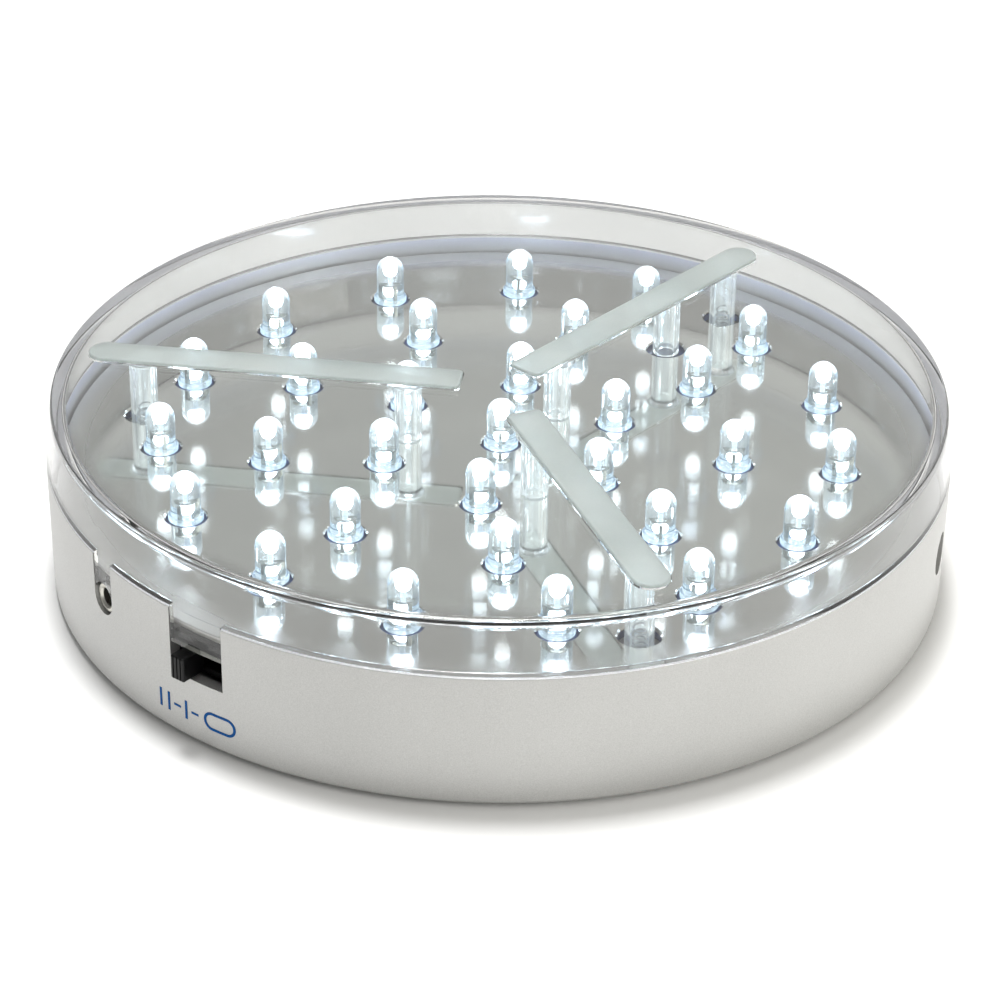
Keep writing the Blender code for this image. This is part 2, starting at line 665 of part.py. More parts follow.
def make_cells():
    surface = material("cell_jacket", srgb(70, 96, 120), 0.35, 0.3)
    frame = Matrix.Rotation(math.radians(90), 4, "Y")
    bm = bmesh.new()
    half = CELL_LENGTH / 2
    profile = [(0, -half), (CELL_RADIUS, -half), (CELL_RADIUS, half - CELL_NUB)]
    profile += [(CELL_NUB_RADIUS, half - CELL_NUB), (CELL_NUB_RADIUS, half), (0, half)]
    add_turned(bm, profile, 20, frame)
    shift = cell_end() - half
    height = CELL_BOTTOM + CELL_RADIUS
    cell = finish("aa_cell_1", bm, surface, (shift, -CELL_PITCH, height))
    placed("aa_cell_2", cell.data, (-shift, 0, height), math.pi)
    placed("aa_cell_3", cell.data, (shift, CELL_PITCH, height))


def spring_points(side, row):
    """A cone of wire from the plate to just short of the cell's flat end."""
    plate = BAY_HALF_X - CLEARANCE - CONTACT_THICKNESS
    flat_end = CELL_LENGTH - cell_end()
    reach = plate - flat_end - CLEARANCE - SPRING_WIRE
    middle = Vector((0, row * CELL_PITCH, CELL_BOTTOM + CELL_RADIUS))
    steps = SPRING_TURNS * 8
    points = []
    for step in range(steps + 1):
        part = step / steps
        angle = math.tau * SPRING_TURNS * part
        radius = SPRING_WIDE_RADIUS + (SPRING_NARROW_RADIUS - SPRING_WIDE_RADIUS) * part
        along = side * (plate - reach * part + 0.1 * MM)
        points.append(middle + Vector((along, radius * math.cos(angle), radius * math.sin(angle))))
    return points


def wire(name, points, radius, sides, surface=None):
    """A round wire through the points, with closed ends."""
    curve = bpy.data.curves.new(name, "CURVE")
    curve.dimensions = "3D"
    curve.bevel_depth = radius
    curve.bevel_resolution = (sides - 4) // 2
    curve.use_fill_caps = True
    spline = curve.splines.new("POLY")
    spline.points.add(len(points) - 1)
    for spot, point in zip(spline.points, points):
        spot.co = (*point, 1)
    if surface:
        curve.materials.append(surface)
    return placed(name, curve, (0, 0, 0))


def make_contact(name, side, rows, springs, tail, surface):
    """A plate against the bay's end wall, with springs where cells' flat ends meet it."""
    outer = side * (BAY_HALF_X - CLEARANCE)
    inner = outer - side * CONTACT_THICKNESS
    near, far = sorted((inner, outer))
    low = min(rows) * CELL_PITCH - CONTACT_WIDTH / 2
    high = max(rows) * CELL_PITCH + CONTACT_WIDTH / 2
    bm = bmesh.new()
    add_box(bm, (near, low, CONTACT_BOTTOM), (far, high, CONTACT_TOP))
    plate = finish(name, bm, surface, flat=True)
    for row in springs:
        coil = wire(f"{name}_coil", spring_points(side, row), SPRING_WIRE, 4)
        bpy.context.view_layer.update()
        mesh = bpy.data.meshes.new_from_object(coil)
        bpy.data.objects.remove(coil)
        bm = bmesh.new()
        bm.from_mesh(mesh)
        combine(plate, helper(f"{name}_spring", bm), "UNION")
    if tail:
        bm = bmesh.new()
        middle = rows[0] * CELL_PITCH
        near, far = sorted((inner, side * (BAY_HALF_X + BAY_WALL + 1.6 * MM)))
        low = (near, middle - 1.2 * MM, TAIL_HEIGHT)
        add_box(bm, low, (far, middle + 1.2 * MM, TAIL_HEIGHT + CONTACT_THICKNESS))
        combine(plate, helper(f"{name}_tail", bm), "UNION")


def make_contacts():
    surface = material("contact_nickel", srgb(190, 188, 180), 0.25, 1.0)
    make_contact("contact_plus", 1, (-1,), (), True, surface)
    make_contact("contact_bridge_left", -1, (-1, 0), (-1,), False, surface)
    make_contact("contact_bridge_right", 1, (0, 1), (0,), False, surface)
    make_contact("contact_minus", -1, (1,), (1,), True, surface)


def smooth(points, steps):
    """Points along a smooth curve through the given ones."""
    ends = [points[0] * 2 - points[1], *points, points[-1] * 2 - points[-2]]
    found = []
    for before, start, end, after in zip(ends, ends[1:], ends[2:], ends[3:]):
        for step in range(steps):
            t = step / steps
            bend = (2 * before - 5 * start + 4 * end - after) * t * t
            twist = (3 * start - before - 3 * end + after) * t ** 3
            found.append((2 * start + (end - before) * t + bend + twist) / 2)
    return found + [points[-1]]


def make_leads():
    """Leads from the battery contacts' tails up to the underside of the board."""
    leads = (("lead_red", 1, -1, (170, 40, 34)), ("lead_black", -1, 1, (30, 30, 32)))
    for name, side, row, colour in leads:
        start_x = BAY_HALF_X + BAY_WALL + 1.9 * MM
        height = TAIL_HEIGHT + CONTACT_THICKNESS / 2
        middle = row * CELL_PITCH
        route = [
            Vector((side * start_x, middle, height)),
            Vector((side * (start_x + 3.0 * MM), middle, height - 1.5 * MM)),
            Vector((side * (start_x + 6.5 * MM), middle - row * 1.5 * MM, height - 1.0 * MM)),
            Vector((side * (start_x + 8.8 * MM), middle - row * 3.0 * MM, height + 2.5 * MM)),
            Vector((side * (start_x + 9.0 * MM), middle - row * 3.5 * MM, UNDER_BOARD)),
        ]
        wire(name, smooth(route, 4), LEAD_RADIUS, 6, material(f"{name}_sheath", srgb(*colour), 0.5))


def make_door():
    """Battery door, with its origin on the edge that it tips about."""
    surface = material("door_plastic", srgb(188, 188, 184), 0.42, 0.3)
    half_x = BAY_HALF_X - DOOR_GAP
    near = DOOR_GAP
    far = 2 * BAY_HALF_Y - DOOR_GAP
    bm = bmesh.new()
    add_box(bm, (-half_x, near, 0), (half_x, far, DOOR_THICKNESS))
    door = finish("battery_door", bm, surface, (0, -BAY_HALF_Y, 0), flat=True)
    bm = bmesh.new()
    # Outlines of (y, z) points, drawn along X.
    sideways = Matrix(((0, 0, 1, 0), (1, 0, 0, 0), (0, 1, 0, 0), (0, 0, 0, 1)))
    root = DOOR_THICKNESS - DOOR_GAP
    low = FLOOR + CLEARANCE
    high = low + DOOR_TONGUE_THICKNESS
    for side in (-1, 1):
        middle = side * DOOR_TONGUE_X
        half = DOOR_TONGUE_WIDTH / 2
        stem = near + DOOR_TONGUE_REACH
        outline = ((near, root), (stem, root), (stem, high), (-DOOR_TONGUE_REACH, high))
        outline += ((-DOOR_TONGUE_REACH, low), (near, low))
        add_prism(bm, outline, middle - half, middle + half, sideways)
    latch = ((far - 1.3 * MM, root), (far - 0.5 * MM, root))
    latch += ((far - 0.5 * MM, DOOR_LATCH_TOP), (far - 1.3 * MM, DOOR_LATCH_TOP))
    add_prism(bm, latch, -DOOR_LATCH_WIDTH / 2, DOOR_LATCH_WIDTH / 2, sideways)
    tools = helper("door_tongues", bm)
    tools.location.y -= BAY_HALF_Y
    combine(door, tools, "UNION")


def foot_places():
    step = 360 / FOOT_COUNT
    return [polar(FOOT_CIRCLE, FOOT_FIRST_DIRECTION + step * number) for number in range(FOOT_COUNT)]


def make_feet():
    surface = material("foot_rubber", srgb(205, 205, 202), 0.7)
    bm = bmesh.new()
    profile = [(0, 0), (FOOT_RADIUS - 0.3 * MM, 0), (FOOT_RADIUS, 0.3 * MM)]
    profile += [(FOOT_RADIUS, FOOT_HEIGHT), (0, FOOT_HEIGHT)]
    add_turned(bm, profile, 16)
    foot = None
    for number, place in enumerate(foot_places(), 1):
        spot = place - Vector((0, 0, FOOT_PROUD))
        if foot is None:
            foot = finish(f"foot_{number}", bm, surface, spot)
        else:
            placed(f"foot_{number}", foot.data, spot)


def main():
    for old in list(bpy.data.objects):
        bpy.data.objects.remove(old)
    make_housing()
    make_lid()
    make_strips()
    make_plate_and_board()
    make_lamps()
    make_screws()
    make_switch()
    make_jacks()
    make_cells()
    make_contacts()
    make_leads()
    make_door()
    make_feet()


main()
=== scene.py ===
import math

import bmesh
import bpy
from mathutils import Matrix, Vector


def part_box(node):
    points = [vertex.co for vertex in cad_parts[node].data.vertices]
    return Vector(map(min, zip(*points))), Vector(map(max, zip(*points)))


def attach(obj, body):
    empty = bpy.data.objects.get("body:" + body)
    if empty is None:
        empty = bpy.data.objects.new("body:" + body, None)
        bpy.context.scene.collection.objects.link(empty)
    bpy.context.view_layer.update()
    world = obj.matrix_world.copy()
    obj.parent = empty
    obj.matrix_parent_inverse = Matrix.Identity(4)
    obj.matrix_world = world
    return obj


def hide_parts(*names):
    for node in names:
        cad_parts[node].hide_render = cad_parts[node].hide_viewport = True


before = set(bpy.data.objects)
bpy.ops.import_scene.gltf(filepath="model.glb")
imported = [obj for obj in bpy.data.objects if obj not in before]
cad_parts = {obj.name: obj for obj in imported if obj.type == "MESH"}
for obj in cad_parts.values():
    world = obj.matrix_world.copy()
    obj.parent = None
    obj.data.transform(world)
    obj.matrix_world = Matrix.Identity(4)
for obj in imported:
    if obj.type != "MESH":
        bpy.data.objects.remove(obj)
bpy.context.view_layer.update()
print("frame loaded:", len(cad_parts), "solids")

# Pieces are drawn in millimetres above the underside of the housing, then scaled and set on the feet.
footProud = 0.8
toMetres = Matrix.Translation((0, 0, footProud / 1000)) @ Matrix.Scale(0.001, 4)


class Wire:

    def __init__(self, graph, socket):
        self.graph, self.socket = graph, socket

    def work(self, operation, *values):
        return self.graph.add("ShaderNodeMath", {"operation": operation}, values)

    def __add__(self, other):
        return self.work("ADD", self, other)

    def __sub__(self, other):
        return self.work("SUBTRACT", self, other)

    def __rsub__(self, other):
        return self.work("SUBTRACT", other, self)

    def __mul__(self, other):
        return self.work("MULTIPLY", self, other)

    def __lt__(self, other):
        return self.work("LESS_THAN", self, other)

    def __gt__(self, other):
        return self.work("GREATER_THAN", self, other)

    __radd__ = __add__
    __rmul__ = __mul__


class Graph:
    def __init__(self, tree):
        self.tree = tree

    def add(self, kind, settings, values, out=0):
        node = self.tree.nodes.new(kind)
        for name, value in settings.items():
            if name == "stops":
                setStops(node.color_ramp, value)
            else:
                setattr(node, name, value)
        for key, value in values.items() if isinstance(values, dict) else enumerate(values):
            if isinstance(value, Wire):
                self.tree.links.new(value.socket, node.inputs[key])
            else:
                node.inputs[key].default_value = value
        return Wire(self, node.outputs[out])

    def ramp(self, factor, *stops):
        return self.add("ShaderNodeValToRGB", {"stops": stops}, {"Fac": factor})

    def mix(self, factor, first, second, mode="MIX"):
        settings = {"data_type": "RGBA", "blend_type": mode}
        return self.add("ShaderNodeMix", settings, {0: factor, 6: first, 7: second}, 2)

    def noise(self, where, scale, detail=3.0):
        values = {"Vector": where, "Scale": scale, "Detail": detail}
        return self.add("ShaderNodeTexNoise", {}, values, "Fac")

    def fit(self, value, low, high, newLow, newHigh):
        return self.add("ShaderNodeMapRange", {}, [value, low, high, newLow, newHigh])

    def height(self, where):
        return self.add("ShaderNodeSeparateXYZ", {}, [where], "Z") * 1000 - footProud

    def above(self, where, level):
        return self.height(where) > level

    def below(self, where, level):
        return self.height(where) < level

    def reach(self, where):
        flat = self.add("ShaderNodeVectorMath", {"operation": "MULTIPLY"}, [where, (1000, 1000, 0)])
        return self.add("ShaderNodeVectorMath", {"operation": "LENGTH"}, [flat], "Value")

    def inside(self, where, radius):
        return self.reach(where) < radius

    def stretch(self, where, factors):
        return self.add("ShaderNodeVectorMath", {"operation": "MULTIPLY"}, [where, factors])

    def facingUp(self):
        normal = self.add("ShaderNodeNewGeometry", {}, {}, "Normal")
        return self.add("ShaderNodeSeparateXYZ", {}, [normal], "Z")


def setStops(ramp, stops):
    while len(ramp.elements) < len(stops):
        ramp.elements.new(0.5)
    for element, (position, colour) in zip(ramp.elements, stops):
        element.position = position
        element.color = colour


def tone(red, green, blue):
    def linear(value):
        value = value / 255
        return value / 12.92 if value <= 0.04045 else ((value + 0.055) / 1.055) ** 2.4
    return linear(red), linear(green), linear(blue), 1.0


def newMaterial(name, fixed):
    made = bpy.data.materials.new(name)
    made.use_nodes = True
    graph = Graph(made.node_tree)
    shader = made.node_tree.nodes["Principled BSDF"]
    for socket, value in fixed.items():
        shader.inputs[socket].default_value = value
    where = graph.add("ShaderNodeTexCoord", {}, {}, "Object")

    def plug(socket, wire):
        made.node_tree.links.new(wire.socket, shader.inputs[socket])

    return made, graph, where, plug


def bump(graph, height, distance, strength=1.0):
    return graph.add("ShaderNodeBump", {}, {"Height": height, "Distance": distance, "Strength": strength})


def silverPaint():
    fixed = {"Metallic": 0.55, "Coat Weight": 0.12, "Coat Roughness": 0.3, "Emission Strength": 1.0}
    made, graph, where, plug = newMaterial("silverPaint", fixed)
    flake = graph.noise(where, 5200, 1.0)
    cloud = graph.noise(where, 26, 4.0)
    shade = graph.ramp(flake * 0.55 + cloud * 0.45, (0.30, tone(176, 176, 174)), (0.70, tone(198, 198, 196)))
    plug("Base Color", shade)
    plug("Roughness", graph.fit(cloud, 0.2, 0.8, 0.38, 0.46))
    plug("Normal", bump(graph, flake, 0.00001, 0.25))
    # painted glow standing in for lamp light spilled on the inside of the rim above the mirror, and piped
    # down the skirt to the seam
    paintedSpillMask = graph.inside(where, innerRadius + 0.5) * graph.above(where, plate["top"] - 1.6)
    rise = graph.fit(graph.height(where), plate["top"], wall["rim"] - 0.2, 0, 1)
    glow = graph.ramp(rise, (0.0, (0.13, 0.13, 0.135, 1)), (0.35, (0.15, 0.16, 0.2, 1)),
                      (0.95, (0.22, 0.24, 0.36, 1)))
    inner = graph.mix(paintedSpillMask, (0, 0, 0, 1), glow)
    # the top of the rim at the seam gets a grey painted glow, standing in for lamp light piped down the skirt
    plug("Emission Color", graph.mix(graph.above(where, wall["rim"] - 0.1), inner, (0.42, 0.43, 0.46, 1)))
    return made


def clearPlastic():
    fixed = {"Transmission Weight": 1.0, "IOR": 1.49, "Emission Strength": 1.0}
    made, graph, where, plug = newMaterial("clearPlastic", fixed)
    haze = graph.noise(where, 45, 3.0)
    disc = graph.ramp(haze, (0.3, tone(242, 244, 244)), (0.7, tone(246, 248, 248)))
    # the skirt is tinted grey: painted shade that dims the wall seen through it
    skirt = graph.ramp(haze, (0.3, tone(214, 214, 214)), (0.7, tone(220, 220, 220)))
    plug("Base Color", graph.mix(graph.fit(graph.reach(where), 71.0, 74.0, 0, 1), disc, skirt))
    plug("Roughness", graph.fit(haze, 0.3, 0.7, 0.0, 0.012))
    # painted glow in the posts, standing in for a little of the lamps' light that they pipe
    streaks = graph.noise(graph.stretch(where, (1100, 1100, 40)), 1.0, 2.0)
    within = graph.inside(where, 70.0) * graph.below(where, lid["top"] - lid["disc"])
    paintedPipedGlow = within * graph.fit(streaks, 0.35, 0.65, 0.3, 1.0)
    plug("Emission Color", graph.mix(paintedPipedGlow, (0, 0, 0, 1), (0.17, 0.195, 0.205, 1)))
    return made


def mirrorFinish():
    made, graph, where, plug = newMaterial("mirrorFinish", {"Metallic": 1.0})
    cloud = graph.noise(where, 30, 4.0)
    plug("Base Color", graph.ramp(cloud, (0.3, tone(240, 240, 237)), (0.7, tone(246, 246, 243))))
    # the stamped border is duller than the middle
    border = graph.fit(graph.reach(where), 65.0, 73.0, 0.0, 0.32)
    plug("Roughness", graph.fit(cloud, 0.25, 0.75, 0.05, 0.08) + border)
    return made


def lampEpoxy():
    fixed = {"Transmission Weight": 1.0, "IOR": 1.42, "Emission Strength": 1.0}
    made, graph, where, plug = newMaterial("lampEpoxy", fixed)
    speck = graph.noise(where, 900, 2.0)
    plug("Base Color", graph.ramp(speck, (0.3, tone(232, 242, 249)), (0.7, tone(247, 252, 255))))
    plug("Roughness", graph.fit(speck, 0.3, 0.7, 0.0, 0.03))
    streaks = graph.noise(graph.stretch(where, (1500, 1500, 60)), 1.0, 2.0)
    rise = graph.fit(graph.height(where), lamp["base"], lamp["base"] + lamp["height"], 0, 1)
    stops = ((0.0, (0.24, 0.34, 0.42, 1)), (0.10, (0.28, 0.38, 0.46, 1)), (0.12, (0.04, 0.06, 0.075, 1)),
             (0.50, (0.08, 0.105, 0.12, 1)), (0.70, (0.22, 0.27, 0.30, 1)), (0.86, (0.30, 0.36, 0.40, 1)))
    barrel = graph.mix(graph.fit(streaks, 0.35, 0.65, 0.0, 0.5), graph.ramp(rise, *stops),
                       (0.02, 0.03, 0.04, 1))
    # the dome is brightest where it faces up
    dome = graph.fit(graph.facingUp(), 0.38, 0.82, 0, 1) * graph.fit(rise, 0.66, 0.78, 0, 1)
    plug("Emission Color", graph.mix(dome, barrel, (1.1, 1.14, 1.16, 1)))
    return made


def lampGlow():
    made, graph, where, plug = newMaterial("lampGlow", {"Emission Strength": 8.0, "Roughness": 0.6})
    rise = graph.fit(graph.height(where), lamp["base"], lamp["base"] + lamp["height"], 0, 1)
    stops = ((0.12, (0.9, 0.97, 1, 1)), (0.32, (0.8, 0.9, 0.96, 1)), (0.36, (0.05, 0.06, 0.065, 1)),
             (0.60, (0.07, 0.08, 0.085, 1)), (0.66, (0.8, 0.9, 0.95, 1)), (0.95, (1, 1, 1, 1)))
    # the steps of the column give their light upwards only
    upward = graph.fit(graph.facingUp(), 0.0, 0.4, 0.03, 1.0)
    plug("Emission Color", graph.mix(upward, (0.015, 0.02, 0.024, 1), graph.ramp(rise, *stops)))
    plug("Base Color", graph.ramp(graph.noise(where, 600, 1.0), (0.3, tone(240, 245, 255)),
                                  (0.7, tone(255, 255, 255))))
    made.cycles.emission_sampling = "NONE"
    return made


def bareMetal(name, dark, light, low, high, grain):
    made, graph, where, plug = newMaterial(name, {"Metallic": 1.0})
    cloud = graph.noise(where, grain, 4.0)
    plug("Base Color", graph.ramp(cloud, (0.3, tone(*dark)), (0.7, tone(*light))))
    plug("Roughness", graph.fit(cloud, 0.3, 0.7, low, high))
    plug("Normal", bump(graph, graph.noise(where, grain * 6, 2.0), 0.00002, 0.2))
    return made


def mouldedPlastic(name, dark, light, low, high, grain, relief=0.00002, shine=0.5):
    made, graph, where, plug = newMaterial(name, {"Specular IOR Level": shine})
    cloud = graph.noise(where, 60, 3.0)
    pits = graph.noise(where, grain, 2.0)
    plug("Base Color", graph.ramp(cloud * 0.5 + pits * 0.5, (0.3, tone(*dark)), (0.7, tone(*light))))
    plug("Roughness", graph.fit(pits, 0.3, 0.7, low, high))
    plug("Normal", bump(graph, pits, relief, 0.35))
    return made


def frostedRubber():
    fixed = {"Transmission Weight": 0.75, "IOR": 1.41, "Alpha": 0.92, "Emission Strength": 1.0}
    made, graph, where, plug = newMaterial("frostedRubber", fixed)
    grain = graph.noise(where, 2600, 2.0)
    cloud = graph.noise(where, 90, 4.0)
    plug("Base Color", graph.ramp(cloud, (0.3, tone(210, 218, 216)), (0.7, tone(225, 231, 229))))
    plug("Roughness", graph.fit(grain, 0.3, 0.7, 0.5, 0.68))
    plug("Normal", bump(graph, grain, 0.00005, 0.5))
    # painted glow on the underside, standing in for the lamps' light it catches
    plug("Emission Color", graph.mix(graph.facingUp() < -0.5, (0, 0, 0, 1), (0.15, 0.158, 0.155, 1)))
    return made


def boardMask():
    made, graph, where, plug = newMaterial("boardMask", {"Coat Weight": 0.3, "Coat Roughness": 0.2})
    bricks = graph.add("ShaderNodeTexBrick", {"offset": 0.5}, {
        "Vector": where, "Scale": 55, "Mortar Size": 0.035, "Brick Width": 0.9, "Row Height": 0.35,
        "Color1": tone(18, 42, 92), "Color2": tone(14, 36, 84), "Mortar": tone(30, 62, 122)}, "Color")
    weave = graph.noise(where, 700, 2.0)
    mask = graph.mix(graph.fit(weave, 0.3, 0.7, 0.0, 0.25), bricks, tone(24, 54, 108))
    # the sawn edge shows the pale core of the board
    rim = 1 - graph.inside(where, plate["boardRadius"] - 0.1)
    core = graph.ramp(weave, (0.3, tone(206, 208, 198)), (0.7, tone(222, 223, 214)))
    plug("Base Color", graph.mix(rim, mask, core))
    plug("Roughness", graph.fit(weave, 0.3, 0.7, 0.35, 0.5))
    plug("Normal", bump(graph, weave, 0.00003, 0.3))
    return made


def cellJacket():
    made, graph, where, plug = newMaterial("cellJacket", {"Metallic": 0.35})
    along = graph.add("ShaderNodeSeparateXYZ", {}, [where], "X") * 1000
    band = graph.fit(along, -25, 25, 0, 1)
    shade = graph.ramp(band, (0.30, tone(52, 84, 118)), (0.34, tone(190, 192, 190)))
    wear = graph.noise(where, 150, 4.0)
    plug("Base Color", graph.mix(graph.fit(wear, 0.3, 0.7, 0, 0.15), shade, tone(30, 40, 52)))
    plug("Roughness", graph.fit(wear, 0.3, 0.7, 0.26, 0.4))
    return made


def markInk():
    made, graph, where, plug = newMaterial("markInk", {"Specular IOR Level": 0.15})
    speck = graph.noise(where, 1500, 2.0)
    plug("Base Color", graph.ramp(speck, (0.3, tone(0, 68, 134)), (0.7, tone(0, 84, 150))))
    plug("Roughness", graph.fit(speck, 0.3, 0.7, 0.45, 0.6))
    return made


def heading(degrees):
    angle = math.radians(degrees)
    return Vector((math.cos(angle), math.sin(angle), 0))


def spin(bm, profile, sides, place=Matrix(), ring=False):
    loops = []
    for radius, height in profile:
        if radius == 0:
            loops.append([bm.verts.new(place @ Vector((0, 0, height)))])
            continue
        turns = [math.tau * step / sides for step in range(sides)]
        loops.append([bm.verts.new(place @ Vector((radius * math.cos(a), radius * math.sin(a), height)))
                      for a in turns])
    pairs = list(zip(loops, loops[1:])) + ([(loops[-1], loops[0])] if ring else [])
    for first, second in pairs:
        for step in range(sides):
            after = (step + 1) % sides
            corners = [first[step % len(first)], first[after % len(first)],
                       second[after % len(second)], second[step % len(second)]]
            bm.faces.new(list(dict.fromkeys(corners)))


def prism(bm, outline, low, high, place=Matrix()):
    bottom = [bm.verts.new(place @ Vector((x, y, low))) for x, y in outline]
    top = [bm.verts.new(place @ Vector((x, y, high))) for x, y in outline]
    bm.faces.new(bottom)
    bm.faces.new(top)
    for step in range(len(outline)):
        after = (step + 1) % len(outline)
        bm.faces.new([bottom[step], bottom[after], top[after], top[step]])


def box(bm, low, high, place=Matrix()):
    prism(bm, ((low[0], low[1]), (high[0], low[1]), (high[0], high[1]), (low[0], high[1])), low[2], high[2],
          place)


def bend(centre, radius, start, end, steps):
    angles = [math.radians(start + (end - start) * step / steps) for step in range(steps + 1)]
    return [(centre[0] + radius * math.cos(a), centre[1] + radius * math.sin(a)) for a in angles]


def throughWall(degrees, height=0.0):
    out = heading(degrees)
    turn = Matrix((Vector((-out.y, out.x, 0)), Vector((0, 0, 1)), out)).transposed().to_4x4()
    return Matrix.Translation((0, 0, height)) @ turn


def alongRib(degrees):
    return Matrix.Rotation(math.radians(degrees), 4, "Z")


def draw(name, bm, material=None):
    bmesh.ops.remove_doubles(bm, verts=bm.verts, dist=1e-5)
    bmesh.ops.recalc_face_normals(bm, faces=bm.faces)
    mesh = bpy.data.meshes.new(name)
    bm.to_mesh(mesh)
    bm.free()
    if material:
        mesh.materials.append(material)
    piece = bpy.data.objects.new(name, mesh)
    bpy.context.scene.collection.objects.link(piece)
    return piece


def bake(piece):
    bpy.context.view_layer.update()
    mesh = bpy.data.meshes.new_from_object(piece.evaluated_get(bpy.context.evaluated_depsgraph_get()))
    piece.modifiers.clear()
    piece.data = mesh
    return piece


def combine(piece, tool, operation):
    modifier = piece.modifiers.new(tool.name, "BOOLEAN")
    modifier.operation = operation
    modifier.solver = "EXACT"
    modifier.object = tool
    bake(piece)
    bpy.data.objects.remove(tool)
    return piece


def rounded(piece, width, steps=3, angle=40):
    modifier = piece.modifiers.new("rounding", "BEVEL")
    modifier.width = width
    modifier.segments = steps
    modifier.limit_method = "ANGLE"
    modifier.angle_limit = math.radians(angle)
    modifier.harden_normals = False
    return bake(piece)


def settle(piece, body, replaced, angle=35):
    mesh = piece.data
    mesh.shade_smooth()
    mesh.set_sharp_from_angle(angle=math.radians(angle))
    modifier = piece.modifiers.new("evenNormals", "WEIGHTED_NORMAL")
    modifier.keep_sharp = True
    bake(piece)
    piece.data.transform(toMetres)
    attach(piece, body)
    if replaced:
        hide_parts(*replaced)
    print(f"{piece.name}: {len(piece.data.polygons)} faces")
    return piece


def centres(*nodes):
    found = []
    for node in nodes:
        low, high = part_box(node)
        found.append(((low.x + high.x) * 500, (low.y + high.y) * 500))
    return found


def newGroup(name, inputs):
    tree = bpy.data.node_groups.new(name, "GeometryNodeTree")
    tree.interface.new_socket("Points", in_out="INPUT", socket_type="NodeSocketGeometry")
    for label, kind in inputs:
        tree.interface.new_socket(label, in_out="INPUT", socket_type=f"NodeSocket{kind}")
    tree.interface.new_socket("Shape", in_out="OUTPUT", socket_type="NodeSocketGeometry")
    graph = Graph(tree)
    start = tree.nodes.new("NodeGroupInput")
    return graph, {socket.name: Wire(graph, socket) for socket in start.outputs if socket.name}


def closeGroup(graph, shape, material):
    whole = graph.add("GeometryNodeRealizeInstances", {}, [shape])
    done = graph.add("GeometryNodeSetMaterial", {}, {"Geometry": whole, "Material": material})
    end = graph.tree.nodes.new("NodeGroupOutput")
    graph.tree.links.new(done.socket, end.inputs[0])
    return graph.tree


def runGroup(name, tree, places, values):
    mesh = bpy.data.meshes.new(name)
    mesh.from_pydata([(*place, 0) if len(place) == 2 else place for place in places], [], [])
    piece = bpy.data.objects.new(name, mesh)
    bpy.context.scene.collection.objects.link(piece)
    modifier = piece.modifiers.new(tree.name, "NODES")
    modifier.node_group = tree
    for item in tree.interface.items_tree:
        if item.item_type == "SOCKET" and item.in_out == "INPUT" and item.name in values:
            modifier[item.identifier] = values[item.name]
    return bake(piece)


def copiesGroup():
    graph, given = newGroup("copies",
                            (("Part", "Object"), ("Turn", "Float"), ("Seed", "Int"),
                             ("Material", "Material")))
    part = graph.add("GeometryNodeObjectInfo", {}, {"Object": given["Part"], "As Instance": True}, "Geometry")
    turn = graph.add("FunctionNodeRandomValue", {"data_type": "FLOAT"}, {3: given["Turn"], 8: given["Seed"]},
                     1)
    spun = graph.add("ShaderNodeCombineXYZ", {}, {"Z": turn})
    copies = graph.add("GeometryNodeInstanceOnPoints", {},
                       {"Points": given["Points"], "Instance": part, "Rotation": spun})
    return closeGroup(graph, copies, given["Material"])


def perforatedGroup():
    graph, given = newGroup("perforated",
                            (("Sheet", "Object"), ("Cutter", "Object"), ("Material", "Material")))
    sheet = graph.add("GeometryNodeObjectInfo", {}, {"Object": given["Sheet"]}, "Geometry")
    cutter = graph.add("GeometryNodeObjectInfo", {}, {"Object": given["Cutter"], "As Instance": True},
                       "Geometry")
    cutters = graph.add("GeometryNodeInstanceOnPoints", {}, {"Points": given["Points"], "Instance": cutter})
    loose = graph.add("GeometryNodeRealizeInstances", {}, [cutters])
    cut = graph.add("GeometryNodeMeshBoolean", {"operation": "DIFFERENCE", "solver": "EXACT"},
                    {"Mesh 1": sheet, "Mesh 2": loose})
    return closeGroup(graph, cut, given["Material"])


def screwGroup():
    graph, given = newGroup("screws", (("Blank", "Object"), ("Turns", "Float"), ("Thread radius", "Float"),
                                       ("Thread start", "Float"), ("Thread length", "Float"),
                                       ("Thread depth", "Float"), ("Material", "Material")))
    blank = graph.add("GeometryNodeObjectInfo", {}, {"Object": given["Blank"]}, "Geometry")
    coil = graph.add("GeometryNodeCurveSpiral", {}, {
        "Resolution": 24, "Rotations": given["Turns"], "Start Radius": given["Thread radius"],
        "End Radius": given["Thread radius"], "Height": given["Thread length"]})
    section = graph.add("GeometryNodeCurvePrimitiveCircle", {"mode": "RADIUS"},
                        {"Resolution": 4, "Radius": given["Thread depth"]})
    thread = graph.add("GeometryNodeCurveToMesh", {},
                       {"Curve": coil, "Profile Curve": section, "Fill Caps": True})
    lift = graph.add("ShaderNodeCombineXYZ", {}, {"Z": given["Thread start"]})
    placed = graph.add("GeometryNodeTransform", {}, {"Geometry": thread, "Translation": lift})
    join = graph.tree.nodes.new("GeometryNodeJoinGeometry")
    graph.tree.links.new(blank.socket, join.inputs[0])
    graph.tree.links.new(placed.socket, join.inputs[0])
    screws = graph.add("GeometryNodeInstanceOnPoints", {},
                       {"Points": given["Points"], "Instance": Wire(graph, join.outputs[0])})
    return closeGroup(graph, screws, given["Material"])


